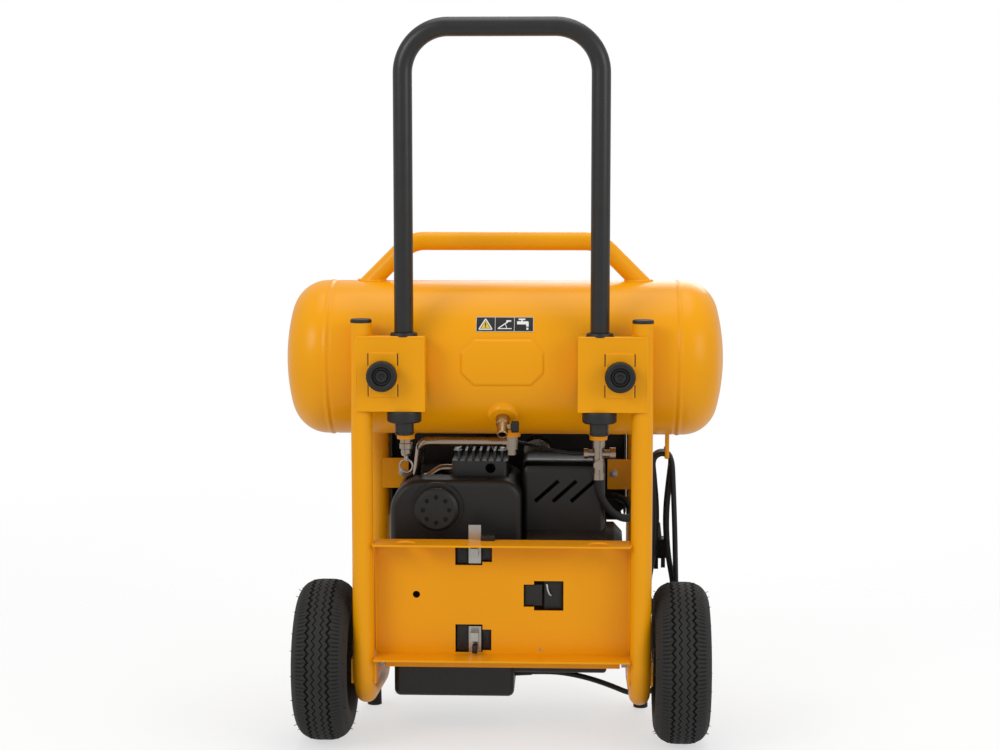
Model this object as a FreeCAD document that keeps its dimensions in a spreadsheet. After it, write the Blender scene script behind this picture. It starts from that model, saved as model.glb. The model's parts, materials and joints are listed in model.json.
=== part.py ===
import FreeCAD, Part

import math
import os
import sys

import Sketcher
from FreeCAD import Placement, Rotation, Vector

# Portable air compressor with one horizontal tank, two pneumatic wheels and a
# telescopic pull handle.  Millimetres.  +Z is up, +X is the operator's right when
# facing the handle side from behind, and -Y is the handle side.  The origin lies on
# the floor under the middle of the tank.

doc = FreeCAD.newDocument("Compressor")
sheet = doc.addObject("Spreadsheet::Sheet", "Dims")

driving = {
    # tank
    "tankRadius": 106.5, "tankWall": 2.5, "tankHalf": 301.0, "tankHeight": 522.0,
    "crownRadius": 270.0, "knuckle": 48.0,
    # welded side loops and the panel between them
    "loopX": 187.0, "loopY": 121.5, "loopTop": 580.0, "loopRear": 70.0, "loopFront": 44.0,
    "loopBend": 50.0, "tubeDia": 28.6, "tubeWall": 2.0,
    "panelHalf": 172.4, "panelFace": -98.0, "panelEdge": -138.0, "panelBottom": 123.0,
    "panelTop": 283.0, "sheetGauge": 2.5,
    # clamp brackets and the pull handle
    "gripX": 130.0, "gripDia": 25.4, "gripWall": 1.8, "gripTop": 967.3, "gripBottom": 434.0,
    "gripBend": 60.0, "clampInner": 101.0, "clampOuter": 193.0, "clampBottom": 463.0,
    "clampTop": 562.0, "clampPlate": -139.0, "knobX": 156.5, "knobHeight": 512.0,
    "knobDia": 41.0,
    # carry handle over the tank
    "carryHeight": 683.0, "carryHalf": 130.0, "carryFoot": 201.0, "carryDia": 25.4,
    # wheels
    "wheelX": 243.5, "wheelY": -75.0, "wheelRadius": 110.0, "tyreHalf": 37.0,
    "seatRadius": 52.0, "axleDia": 12.0,
    # pump and motor on one shaft along X
    "shaftY": 30.0, "shaftHeight": 215.0, "shaftDia": 17.0, "throw": 10.0, "boreDia": 63.0,
    "cylinderX": -35.0, "motorRadius": 74.0, "statorRadius": 68.0, "rotorRadius": 38.0,
    "deckHeight": 105.0, "deckGauge": 3.0,
    # shrouds
    "coverLeft": -158.0, "coverRight": 24.0, "coverRear": -45.0, "coverFront": 105.0,
    "coverTop": 356.0, "coverWall": 3.0, "panBottom": 47.0,
    # console at the front
    "consoleFront": 168.0, "consoleHalf": 172.2, "consoleBottom": 272.0, "consoleTop": 424.0,
    "gaugeRadius": 21.0, "gaugeX": 42.0, "gaugeHeight": 366.0,
    # cord
    "cordDia": 7.6, "hankX": 222.0, "hankY": 60.0, "hankTop": 386.0, "hankBottom": 140.0,
    "hankRadius": 26.0,
}
for row, (word, number) in enumerate(driving.items(), start=1):
    sheet.set("A%d" % row, word)
    sheet.set("B%d" % row, str(number))
    sheet.setAlias("B%d" % row, word)
doc.recompute()


class Size:
    """A number together with the spreadsheet expression that gives it."""

    def __init__(self, value, text=None):
        self.value = float(value)
        self.text = text or repr(float(value))

    def join(self, other, sign, value):
        return Size(value, "(%s %s %s)" % (self.text, sign, other.text))

    def __add__(self, other):
        other = sized(other)
        return self.join(other, "+", self.value + other.value)

    def __sub__(self, other):
        other = sized(other)
        return self.join(other, "-", self.value - other.value)

    def __mul__(self, other):
        other = sized(other)
        return self.join(other, "*", self.value * other.value)

    def __truediv__(self, other):
        other = sized(other)
        return self.join(other, "/", self.value / other.value)

    def __neg__(self):
        return Size(-self.value, "(0 - %s)" % self.text)

    def __radd__(self, other):
        return sized(other) + self

    def __rsub__(self, other):
        return sized(other) - self

    def __rmul__(self, other):
        return sized(other) * self


def sized(number):
    return number if isinstance(number, Size) else Size(number)


def dim(word):
    return Size(getattr(sheet, word), "Dims.%s" % word)


nodes = []


def piece(label, shape):
    shape.Label = label
    nodes.append(shape)
    return shape


# ---- bound primitives and booleans -------------------------------------------------

def bind(thing, **sizes):
    for name, number in sizes.items():
        number = sized(number)
        setattr(thing, name, number.value)
        thing.setExpression(name, number.text)


def put(thing, x, y, z, turn=None):
    x, y, z = sized(x), sized(y), sized(z)
    thing.Placement = Placement(Vector(x.value, y.value, z.value), turn or Rotation())
    for axis, number in zip("xyz", (x, y, z)):
        thing.setExpression("Placement.Base.%s" % axis, number.text)
    return thing


along = {
    "X": Rotation(Vector(0, 1, 0), 90),
    "Y": Rotation(Vector(1, 0, 0), -90),
    "Z": Rotation(),
}


def box(x0, x1, y0, y1, z0, z1):
    solid = doc.addObject("Part::Box", "Block")
    bind(solid, Length=sized(x1) - x0, Width=sized(y1) - y0, Height=sized(z1) - z0)
    return put(solid, x0, y0, z0)


def rod(axis, x, y, z, radius, length, turn=None):
    """A cylinder that starts at x, y, z and runs along the axis."""
    solid = doc.addObject("Part::Cylinder", "Rod")
    bind(solid, Radius=radius, Height=length)
    return put(solid, x, y, z, turn or along[axis])


def taper(axis, x, y, z, radius1, radius2, length, turn=None):
    solid = doc.addObject("Part::Cone", "Taper")
    bind(solid, Radius1=radius1, Radius2=radius2, Height=length)
    return put(solid, x, y, z, turn or along[axis])


def ball(x, y, z, radius):
    solid = doc.addObject("Part::Sphere", "Ball")
    bind(solid, Radius=radius)
    return put(solid, x, y, z)


def ring(axis, x, y, z, radius, wire):
    solid = doc.addObject("Part::Torus", "Ring")
    bind(solid, Radius1=radius, Radius2=wire)
    return put(solid, x, y, z, along[axis])


def fuse(*shapes):
    whole = doc.addObject("Part::MultiFuse", "Joined")
    whole.Shapes = list(shapes)
    return whole


def cut(base, *tools):
    whole = doc.addObject("Part::Cut", "Trimmed")
    whole.Base = base
    whole.Tool = tools[0] if len(tools) == 1 else fuse(*tools)
    return whole


def common(*shapes):
    whole = doc.addObject("Part::MultiCommon", "Shared")
    whole.Shapes = list(shapes)
    return whole


def group(*shapes):
    whole = doc.addObject("Part::Compound", "Group")
    whole.Links = list(shapes)
    return whole


def rounded(base, radius, chosen):
    """Fillet of the edges whose middle and direction pass the chosen test."""
    doc.recompute()
    edges = []
    for number, edge in enumerate(base.Shape.Edges, start=1):
        middle = edge.valueAt((edge.FirstParameter + edge.LastParameter) / 2)
        if chosen(edge, middle):
            edges.append((number, sized(radius).value, sized(radius).value))
    whole = doc.addObject("Part::Fillet", "Rounded")
    whole.Base = base
    whole.Edges = edges
    return whole


def runsAlong(edge, axis):
    """True for a straight edge that runs along X, Y or Z."""
    ends = edge.Vertexes
    if len(ends) != 2 or not isinstance(edge.Curve, Part.Line):
        return False
    way = ends[1].Point - ends[0].Point
    return abs(way["XYZ".index(axis)]) > 0.99 * way.Length


def mirrored(source):
    """The same piece on the other side of the plane X = 0."""
    twin = doc.addObject("Part::Mirroring", "Mirrored")
    twin.Source = source
    twin.Base = Vector(0, 0, 0)
    twin.Normal = Vector(1, 0, 0)
    return twin


# ---- sketched bodies ----------------------------------------------------------------

def sketchOn(body, role, outlines, circles=()):
    """A sketch whose corners and circles are all held by bound distances."""
    plane = [item for item in body.Origin.OriginFeatures if item.Role == role][0]
    sketch = body.newObject("Sketcher::SketchObject", "Outline")
    sketch.AttachmentSupport = [(plane, "")]
    sketch.MapMode = "FlatFace"

    def hold(kind, part, point, number):
        number = sized(number)
        index = sketch.addConstraint(Sketcher.Constraint(kind, -1, 1, part, point, number.value))
        sketch.setExpression("Constraints[%d]" % index, number.text)

    for outline in outlines:
        corners = [(sized(u), sized(v)) for u, v in outline]
        first = None
        for (u, v), (nextU, nextV) in zip(corners, corners[1:] + corners[:1]):
            line = Part.LineSegment(Vector(u.value, v.value, 0), Vector(nextU.value, nextV.value, 0))
            number = sketch.addGeometry(line, False)
            first = number if first is None else first
        last = sketch.GeometryCount - 1
        for number in range(first, last):
            sketch.addConstraint(Sketcher.Constraint("Coincident", number, 2, number + 1, 1))
        sketch.addConstraint(Sketcher.Constraint("Coincident", last, 2, first, 1))
        for offset, (u, v) in enumerate(corners):
            hold("DistanceX", first + offset, 1, u)
            hold("DistanceY", first + offset, 1, v)
    for u, v, radius in circles:
        u, v, radius = sized(u), sized(v), sized(radius)
        centre = Vector(u.value, v.value, 0)
        number = sketch.addGeometry(Part.Circle(centre, Vector(0, 0, 1), radius.value), False)
        index = sketch.addConstraint(Sketcher.Constraint("Radius", number, radius.value))
        sketch.setExpression("Constraints[%d]" % index, radius.text)
        hold("DistanceX", number, 3, u)
        hold("DistanceY", number, 3, v)
    return sketch


def turned(axis, x, y, z, outline):
    """A body turned about the axis; outline holds (distance along, radius) corners."""
    body = doc.addObject("PartDesign::Body", "Turned")
    sketch = sketchOn(body, "XZ_Plane", [[(radius, height) for height, radius in outline]])
    spin = body.newObject("PartDesign::Revolution", "Spin")
    spin.Profile = sketch
    spin.ReferenceAxis = (sketch, ["V_Axis"])
    spin.Angle = 360
    return put(body, x, y, z, along[axis])


def plate(role, depth, outlines, circles=(), x=0, y=0, z=0, turn=None):
    """A body padded from a sketch on one of its own planes."""
    body = doc.addObject("PartDesign::Body", "Plate")
    sketch = sketchOn(body, role, outlines, circles)
    pad = body.newObject("PartDesign::Pad", "Thickness")
    pad.Profile = sketch
    bind(pad, Length=depth)
    return put(body, x, y, z, turn)


# ---- bent tubes and cords -----------------------------------------------------------

def bentPath(points, radii):
    """Straight runs joined by tangent arcs, one radius for each inner point."""
    edges = []
    start = points[0]
    for before, corner, after, radius in zip(points, points[1:], points[2:], radii):
        come = (corner - before).normalize()
        go = (after - corner).normalize()
        half = math.acos(max(-1.0, min(1.0, come.dot(go)))) / 2
        reach = radius * math.tan(half)
        arcStart = corner - come * reach
        arcEnd = corner + go * reach
        inward = (go - come).normalize()
        arcMiddle = corner + inward * (radius / math.cos(half) - radius)
        edges.append(Part.LineSegment(start, arcStart).toShape())
        edges.append(Part.Arc(arcStart, arcMiddle, arcEnd).toShape())
        start = arcEnd
    edges.append(Part.LineSegment(start, points[-1]).toShape())
    return Part.Wire(edges)


def swept(path, radius):
    first = path.Edges[0]
    start = first.valueAt(first.FirstParameter)
    way = first.tangentAt(first.FirstParameter)
    profile = Part.Wire([Part.Circle(start, way, radius).toShape()])
    return path.makePipeShell([profile], True, False)


def tubeShape(points, radii, outer, wall=0):
    path = bentPath([Vector(*point) for point in points], radii)
    shape = swept(path, outer / 2)
    if wall:
        shape = shape.cut(swept(path, outer / 2 - wall))
    return shape


def bentTube(points, radii, outer, wall=0):
    solid = doc.addObject("Part::Feature", "BentTube")
    solid.Shape = tubeShape(points, radii, outer, wall)
    return solid


def cordTube(name, points, dia):
    """A limp cord: each arc is as large as its two runs allow."""
    route = [Vector(*point) for point in points]
    radii = []
    for before, corner, after in zip(route, route[1:], route[2:]):
        come, go = corner - before, after - corner
        turn = come.getAngle(go)
        radii.append(0.45 * min(come.Length, go.Length) / math.tan(turn / 2))
    path = bentPath(route, radii)
    solid = swept(path, dia / 2)
    expected = math.pi * dia ** 2 / 4 * path.Length
    print("%s: length %.0f mm, radii %s, volume ratio %.3f"
          % (name, path.Length, [round(radius) for radius in radii], solid.Volume / expected))
    return solid


# ---- frame --------------------------------------------------------------------------

tubeR = dim("tubeDia") / 2
loopX, loopY = dim("loopX"), dim("loopY")
gauge = dim("sheetGauge")
axleY, axleZ = dim("wheelY"), dim("wheelRadius")


def loopPath(x):
    y, top = loopY.value, dim("loopTop").value
    rear, front = dim("loopRear").value, dim("loopFront").value
    return [(x, -y, top), (x, -y, rear), (x, y, front), (x, y, top)]


def sideLoop():
    """U-shaped tube with two ears for the axle bolt and a tab that carries the console."""
    tube = bentTube(loopPath(loopX.value), [dim("loopBend").value] * 2, dim("tubeDia").value,
                    dim("tubeWall").value)
    ear = [(-loopY - 1, 89), (axleY + 15, 89), (axleY + 15, 122.5), (-loopY - 1, 122.5)]
    hole = [(axleY, axleZ, dim("axleDia") / 2 + 0.1)]
    ears = [plate("YZ_Plane", 3, [ear], hole, x=loopX + tubeR - 0.3),
            plate("YZ_Plane", 3, [ear], hole, x=loopX - tubeR - 2.7)]
    tab = cut(box(loopX - 42, loopX - 4, 107.5, 110, 318, 362), rod("Y", loopX - 33, 106, 341, 4.2, 6))
    return fuse(tube, tab, *ears)


rightLoop = piece("side_loop_right", sideLoop())
piece("side_loop_left", mirrored(rightLoop))


def tubeCap(x, y):
    top = dim("loopTop")
    plug = rod("Z", x, y, top - 14, tubeR - dim("tubeWall") - 0.05, 14)
    head = rod("Z", x, y, top, tubeR, 5)
    return fuse(plug, rounded(head, 2.2, lambda edge, middle: middle.z > top.value + 4))


piece("tube_caps", group(*[tubeCap(x, y) for x in (-loopX, loopX) for y in (-loopY, loopY)]))


def foot(x, outward):
    """Rubber foot under the front bend of the loop, set a little outwards, with a saddle for the tube."""
    saddle = bentTube(loopPath(x.value), [dim("loopBend").value] * 2, dim("tubeDia").value + 0.1)
    body = taper("Z", x + outward, 88, 0, 10.5, 9.5, dim("loopFront"))
    return cut(body, saddle)


piece("front_feet", group(foot(-loopX, -8), foot(loopX, 8)))


def rearPanel():
    half, face, edge = dim("panelHalf"), dim("panelFace"), dim("panelEdge")
    low, high = dim("panelBottom"), dim("panelTop")
    channel = cut(box(-half, half, edge, face + gauge, low, high),
                  box(-half - 1, half + 1, edge - 1, face, low + gauge, high - gauge))

    def window(x0, x1, z0, z1):
        return box(x0, x1, face - 1, face + gauge + 1, z0, z1)

    windows = [
        window(-64, -27, 248, 275), window(-28, -14, 252.5, 275),
        window(-64, -27, 127, 166), window(-28, -15, 130, 159),
        window(29, 44, 191, 222), window(43, 83, 186, 227),
    ]
    holes = [rod("Y", -117, face - 1, 207, 5, gauge + 2), rod("Y", 52, face - 1, 132, 2, gauge + 2)]
    guides = [rod("Z", x, -loopY, high - gauge - 1, dim("gripDia") / 2 + 1.5, gauge + 2)
              for x in (-dim("gripX"), dim("gripX"))]
    return cut(channel, *windows, *holes, *guides)


piece("rear_panel", rearPanel())


def clampBracket():
    """Folded sheet: a rear plate welded to the loop, an inner flange and two shelves."""
    inner, outer = dim("clampInner"), dim("clampOuter")
    low, high, back = dim("clampBottom"), dim("clampTop"), dim("clampPlate")
    front = -108.4
    rearPlate = box(inner, outer, back, back + gauge, low, high)
    flange = box(inner, inner + gauge, back, front, low, high)
    shelves = [box(inner, loopX - tubeR - 0.5, back, front, z, z + gauge) for z in (low, high - gauge)]
    boss = box(dim("knobX") - 19, dim("knobX") + 19, back - 2, back, dim("knobHeight") - 30,
               dim("knobHeight") + 30)
    boss = rounded(boss, 1.8, lambda edge, middle: middle.y < back.value - 1.5)
    passage = [rod("Z", dim("gripX"), -loopY, low - 1, dim("gripDia") / 2 + 2.5, high - low + 2),
               rod("Y", dim("knobX"), back - 3, dim("knobHeight"), 5.3, gauge + 4)]
    return cut(fuse(rearPlate, flange, boss, *shelves), *passage)


rightClamp = piece("clamp_bracket_right", clampBracket())
piece("clamp_bracket_left", mirrored(rightClamp))


def guideCollars(x):
    """Moulded guides that line the bracket's two holes."""
    bore = dim("gripDia") / 2 + 0.08
    sleeve = dim("gripDia") / 2 + 2.4
    upper = turned("Z", x, -loopY, dim("clampTop"),
                   [(-14, bore), (-14, sleeve), (0.05, sleeve), (0.05, 18.5), (5, 17.5), (5, bore)])
    lower = turned("Z", x, -loopY, dim("clampBottom"),
                   [(14, bore), (14, sleeve), (-0.05, sleeve), (-0.05, 22), (-3, 23), (-14, 23),
                    (-16, 21), (-16, bore)])
    return [upper, lower]


piece("guide_collars", group(*guideCollars(-dim("gripX")), *guideCollars(dim("gripX"))))


def axle(side):
    """Shoulder bolt through the two ears, with a washer and a nut outside the wheel."""
    head = rod("X", loopX - tubeR - 10.2, axleY, axleZ, 8, 7)
    shank = rod("X", loopX - tubeR - 3.3, axleY, axleZ, dim("axleDia") / 2, 107.5)
    nut = turned("X", dim("wheelX") + 24.5, axleY, axleZ,
                 [(0, 6.05), (0, 12), (2, 12), (2, 9.5), (9, 9.5), (10.5, 8), (10.5, 6.05)])
    bolt = fuse(head, shank)
    return [bolt, nut] if side > 0 else [mirrored(bolt), mirrored(nut)]


piece("wheel_axles", group(*axle(1), *axle(-1)))

# ---- tank ---------------------------------------------------------------------------

tankR, tankZ, tankHalf = dim("tankRadius"), dim("tankHeight"), dim("tankHalf")


def drum(inset):
    """Cylinder with knuckled, dished ends, inset from the outside by the given amount."""
    barrel = rod("X", 0, 0, tankZ, tankR - inset, tankHalf - inset)
    barrel = rounded(barrel, dim("knuckle") - inset,
                     lambda edge, middle: isinstance(edge.Curve, Part.Circle) and middle.x > 1)
    crown = ball(tankHalf - dim("crownRadius"), 0, tankZ, dim("crownRadius") - inset)
    end = common(barrel, crown)
    return fuse(end, mirrored(end))


drainTurn = Rotation(Vector(1, 0, 0), 90 + 42)     # points to the rear and 42 degrees down
drainWay = drainTurn.multVec(Vector(0, 0, 1))


def tankPoint(way, radius):
    """The point on the drum's axis plane at this radius along a direction."""
    return way.x * radius, way.y * radius, way.z * radius + tankZ.value


def octagonPad():
    """Raised eight-sided boss pressed out of the rear of the tank."""
    wide, high, corner = 55, 30.5, 17
    outline = [(-wide, -high + corner), (-wide + corner, -high), (wide - corner, -high),
               (wide, -high + corner), (wide, high - corner), (wide - corner, high),
               (-wide + corner, high), (-wide, high - corner)]
    return common(plate("XZ_Plane", 40, [outline], y=-75, z=tankZ + 3),
                  rod("X", -60, 0, tankZ, tankR + 1.6, 120))


def tankShell():
    hookX = 228
    bosses = [rod("Z", x, y, z, 12.5, 14) for x, y, z in
              ((130, -20, 409.5), (10, -20, 413.5), (-137, -20, 409.5))]
    rootAt = tankPoint(drainWay, tankR.value - 6)
    drainBoss = taper("Z", *rootAt, 23, 19, 10.5, drainTurn)
    strip = box(hookX - 3, hookX + 3, 43, 46, 372.5, 432)
    prong = [box(hookX - 3, hookX + 3, 43, 79, 372.5, 375.5), box(hookX - 3, hookX + 3, 76, 79, 372.5, 386)]
    hook = fuse(strip, *prong)
    return cut(fuse(drum(0), octagonPad(), drainBoss, hook, *bosses), drum(dim("tankWall")))


piece("tank_shell", tankShell())


def carryHandle():
    half, foot, height = dim("carryHalf").value, dim("carryFoot").value, dim("carryHeight").value
    footZ = tankZ.value + 90
    tube = bentTube([(-foot, 0, footZ), (-half, 0, height), (half, 0, height), (foot, 0, footZ)],
                    [46, 46], dim("carryDia").value)
    return cut(tube, rod("X", -250, 0, tankZ, tankR + 0.1, 500))


piece("carry_handle", carryHandle())

# ---- drain --------------------------------------------------------------------------

drainStart = tankPoint(drainWay, tankR.value + 4.6)
drainMouth = 30
stemAt = tankPoint(drainWay, tankR.value + 20)


def drainElbow():
    body = fuse(rod("Z", *drainStart, 9.5, 12, drainTurn), rod("Z", *drainStart, 7.4, drainMouth, drainTurn))
    bore = rod("Z", *drainStart, 5.2, drainMouth + 1, drainTurn)
    side = rod("X", stemAt[0] + 6.5, stemAt[1], stemAt[2], 4.6, 5)
    return cut(fuse(body, side), bore)


piece("drain_elbow", drainElbow())


def fluted(axis, x, y, z, outline, radius, count, depth, length):
    """A turned knob with grooves cut along its rim by a polar pattern of rods."""
    body = turned(axis, x, y, z, outline)
    grooves = []
    for number in range(count):
        angle = 2 * math.pi * number / count
        across, up = radius * math.cos(angle), radius * math.sin(angle)
        shift = {"X": (-1, across, up), "Y": (across, -1, up), "Z": (across, up, -1)}[axis]
        grooves.append(rod(axis, x + shift[0], y + shift[1], z + shift[2], depth, length))
    return cut(body, *grooves)


piece("drain_knob", fluted("X", sized(11.8), sized(stemAt[1]), sized(stemAt[2]),
                           [(0, 0), (0, 7), (1, 8), (9, 8), (10.5, 6.5), (10.5, 0)], 8.4, 12, 1.1, 14))

# ---- pump ---------------------------------------------------------------------------

shaftY, shaftZ, shaftR = dim("shaftY"), dim("shaftHeight"), dim("shaftDia") / 2
cylX, boreR = dim("cylinderX"), dim("boreDia") / 2
deck, deckTop = dim("deckHeight"), dim("deckHeight") + dim("deckGauge")

mountSpots = [(-84, -22), (-84, 82), (9, -22), (9, 82)]


def basePlate():
    floorPlate = box(-172.2, 172.2, -94, 130, deck, deckTop)
    lip = [box(-172.2, 172.2, -94, -91, deckTop - 1, deckTop + 11),
           box(-172.2, 172.2, 127, 130, deckTop - 1, deckTop + 11)]
    holes = [rod("Z", x, y, deck - 1, 4.2, 5) for x, y in mountSpots]
    vents = [box(x, x + 60, 0, 60, deck - 1, deckTop + 1) for x in (-70, 60)]
    corners = [box(x, x + 20, -95, -58, deck - 1, deckTop + 20) for x in (-180, 160)]
    return cut(fuse(floorPlate, *lip), *holes, *vents, *corners)


piece("base_plate", basePlate())


def rubberMount(x, y):
    return turned("Z", x, y, deckTop, [(0, 4.2), (0, 11), (7, 8.5), (10, 8.5), (17, 11), (17, 4.2)])


piece("rubber_mounts", group(*[rubberMount(x, y) for x, y in mountSpots]))


def crankcase():
    outer = box(-75, 0, shaftY - 47, shaftY + 47, 125, 262)
    feet = box(-94, 19, shaftY - 62, shaftY + 62, 125.1, 133)
    cavity = box(-63, -12, shaftY - 37, shaftY + 37, 175, 250)
    throat = rod("Z", cylX, shaftY, 249, boreR + 3.2, 14)
    hollows = box(-66, -9, shaftY - 60, shaftY + 60, 140, 166)
    bearings = rod("X", -76, shaftY, shaftZ, 20, 77)
    bolts = [rod("Z", x, y, 124, 4.2, 10) for x, y in mountSpots]
    return cut(fuse(outer, feet), cavity, throat, hollows, bearings, *bolts)


piece("crankcase", crankcase())


def bearing(x):
    return turned("X", x, shaftY, shaftZ,
                  [(0, shaftR + 0.06), (0, 12.2), (1, 12.2), (1, 16.4), (0, 16.4), (0, 19.98),
                   (11, 19.98), (11, 16.4), (10, 16.4), (10, 12.2), (11, 12.2), (11, shaftR + 0.06)])


piece("crank_bearings", group(bearing(-74.5), bearing(-11.5)))


def crankshaft():
    shaft = rod("X", -142, shaftY, shaftZ, shaftR, 303)
    throw = dim("throw")
    eccentric = rod("X", -45, shaftY, shaftZ + throw, 16, 20)
    weight = common(rod("X", -57, shaftY, shaftZ, 34, 8), box(-57, -49, shaftY - 34, shaftY + 34,
                                                             shaftZ - 34, shaftZ + 4))
    return fuse(shaft, eccentric, weight)


piece("crankshaft", crankshaft())


def pistonRod():
    """One-piece rocking piston; its big end is a wide ring that the throw turns inside."""
    throw = dim("throw")
    bigEnd = cut(rod("X", -43, shaftY, shaftZ, throw + 25, 16), rod("X", -44, shaftY, shaftZ, throw + 17, 18))
    shank = box(cylX - 6, cylX + 6, shaftY - 11, shaftY + 11, shaftZ + 30, 300)
    crown = turned("Z", cylX, shaftY, 298,
                   [(0, 0), (0, 22), (6, boreR - 0.6), (9, boreR - 0.6), (9, boreR - 3), (12, boreR - 3),
                    (12, boreR - 0.6), (18, boreR - 0.6), (18, 0)])
    return fuse(bigEnd, shank, crown)


piece("piston_rod", pistonRod())


def finnedCylinder():
    outline = [(0, boreR), (0, 45), (8, 45), (8, boreR + 5)]
    for number in range(7):
        base = 15 + number * 9.5
        outline += [(base, boreR + 5), (base, 46), (base + 3, 46), (base + 3, boreR + 5)]
    outline += [(80, boreR + 5), (80, 45), (87.5, 45), (87.5, boreR)]
    return turned("Z", cylX, shaftY, 262.3, outline)


piece("cylinder", finnedCylinder())


def cylinderHead():
    low, high = 350.1, 391
    block = rounded(box(-74, 4, shaftY - 40, shaftY + 40, low, high - 14), 7,
                    lambda edge, middle: runsAlong(edge, "Z"))
    fins = [box(x, x + 3.4, shaftY - 34, shaftY + 34, high - 15, high) for x in range(-66, 0, 10)]
    chambers = [box(-62, -40, shaftY - 26, shaftY + 26, low + 4, high - 20),
                box(-32, -8, shaftY - 26, shaftY + 26, low + 6, high - 20)]
    ports = [rod("Z", x, shaftY, low - 1, 7, 9) for x in (-51, -20)]
    outlet = rod("X", -75, 31, 359.5, 6.4, 16)
    inlet = rod("Y", -20, shaftY - 41, 367, 7, 16)
    return cut(fuse(block, *fins), *chambers, *ports, outlet, inlet)


piece("cylinder_head", cylinderHead())


def coolingFan():
    hub = cut(turned("X", -139, shaftY, shaftZ, [(0, shaftR), (0, 20), (3, 22), (20, 22), (20, shaftR)]),
              rod("X", -140, shaftY, shaftZ, shaftR, 4))
    blades = []
    for number in range(7):
        angle = 360 / 7 * number
        blade = doc.addObject("Part::Box", "Blade")
        bind(blade, Length=3, Width=17, Height=46)
        spin = Rotation(Vector(1, 0, 0), angle)
        pitch = Rotation(Vector(0, 0, 1), -32)
        corner = spin.multVec(Vector(-125, -6, 20))
        put(blade, corner.x, shaftY + corner.y, shaftZ + corner.z, spin.multiply(pitch))
        blades.append(blade)
    return cut(fuse(hub, *blades), rod("X", -145, shaftY, shaftZ, shaftR, 40))


piece("cooling_fan", coolingFan())

# ---- motor --------------------------------------------------------------------------


def motorHousing():
    outer, inner = dim("motorRadius"), dim("statorRadius")
    shell = turned("X", 24.5, shaftY, shaftZ,
                   [(0, 12), (0, outer - 6), (6, outer), (118, outer), (118, outer - 5), (128, outer - 5),
                    (140, outer - 18), (140, 12), (134, 12), (134, inner - 14), (112, inner + 0.1),
                    (6, inner + 0.1), (6, 12)])
    slots = []
    for number in range(12):
        angle = math.radians(30 * number)
        slots.append(rod("X", 157, shaftY + 36 * math.cos(angle), shaftZ + 36 * math.sin(angle), 4.5, 10))
    return cut(shell, *slots)


piece("motor_housing", motorHousing())


def stator():
    inner, outer = dim("rotorRadius") + 0.6, dim("statorRadius")
    core = turned("X", 50, shaftY, shaftZ, [(0, inner), (0, outer), (56, outer), (56, inner)])
    rightEnd = turned("X", 106, shaftY, shaftZ,
                      [(0, inner + 3), (0, outer - 6), (10, outer - 8), (10, inner + 5)])
    leftEnd = turned("X", 38, shaftY, shaftZ,
                     [(0, inner + 5), (0, outer - 8), (12, outer - 6), (12, inner + 3)])
    return fuse(core, leftEnd, rightEnd)


piece("stator", stator())
piece("rotor", turned("X", 48, shaftY, shaftZ,
                      [(0, shaftR), (0, 30), (2, dim("rotorRadius")), (58, dim("rotorRadius")),
                       (60, 30), (60, shaftR)]))

# ---- shrouds ------------------------------------------------------------------------

coverL, coverR = dim("coverLeft"), dim("coverRight")
coverRear, coverFront, coverTop = dim("coverRear"), dim("coverFront"), dim("coverTop")
wall = dim("coverWall")


def pumpShroud():
    """Moulded cover over the pump, open below, with holes for the head and the motor."""
    seat = deckTop + 0.1
    outer = rounded(box(coverL, coverR, coverRear, coverFront, seat, coverTop), 46,
                    lambda edge, middle: runsAlong(edge, "Y") and middle.z > 300 and middle.x < 0)
    outer = rounded(outer, 26,
                    lambda edge, middle: runsAlong(edge, "Y") and middle.z > 350 and middle.x > 0)
    outer = rounded(outer, 10, lambda edge, middle: runsAlong(edge, "Z") or middle.z > 300)
    inner = rounded(box(coverL + wall, coverR - wall, coverRear + wall, coverFront - wall, seat - 1,
                        coverTop - wall), 43,
                    lambda edge, middle: runsAlong(edge, "Y") and middle.z > 300 and middle.x < 0)
    inner = rounded(inner, 23, lambda edge, middle: runsAlong(edge, "Y") and middle.z > 347 and middle.x > 0)
    top = box(-77, 7, shaftY - 43, shaftY + 43, coverTop - 10, coverTop + 5)
    tubeSlot = box(-142, -70, 0, 44, coverTop - 24, coverTop + 5)
    motorHole = rod("X", coverR - 10, shaftY, shaftZ, 45, 20)
    grille = [box(coverL - 1, coverL + wall + 1, shaftY - 42, shaftY + 42, z, z + 5)
              for z in range(160, 275, 11)]
    inletHole = rod("Y", -92, coverRear - 1, 317, 12, wall + 2)
    return cut(outer, inner, top, tubeSlot, motorHole, inletHole, *grille)


def bottomPan():
    """Shallow pan under the deck: deep below the pump and shallow below the motor."""
    top = deck - 0.1
    deep = rounded(box(-154, 14, -38, 98, dim("panBottom"), top), 9,
                   lambda edge, middle: middle.z < 60 or runsAlong(edge, "Z"))
    shallow = rounded(box(10, 143, -30, 90, 80, top), 7,
                      lambda edge, middle: middle.z < 84 and middle.x > 20)
    inner = [box(-150, 10, -34, 94, dim("panBottom") + 4, top + 1),
             box(9, 139, -26, 86, 84, top + 1)]
    drainBoss = rod("Z", -70, 10, 40, 13, 12)
    gland = rod("X", 8, 0, 74, 4.6, 8)
    return cut(fuse(deep, shallow, drainBoss), *inner, gland)


piece("pump_shroud", group(pumpShroud(), bottomPan()))


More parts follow.
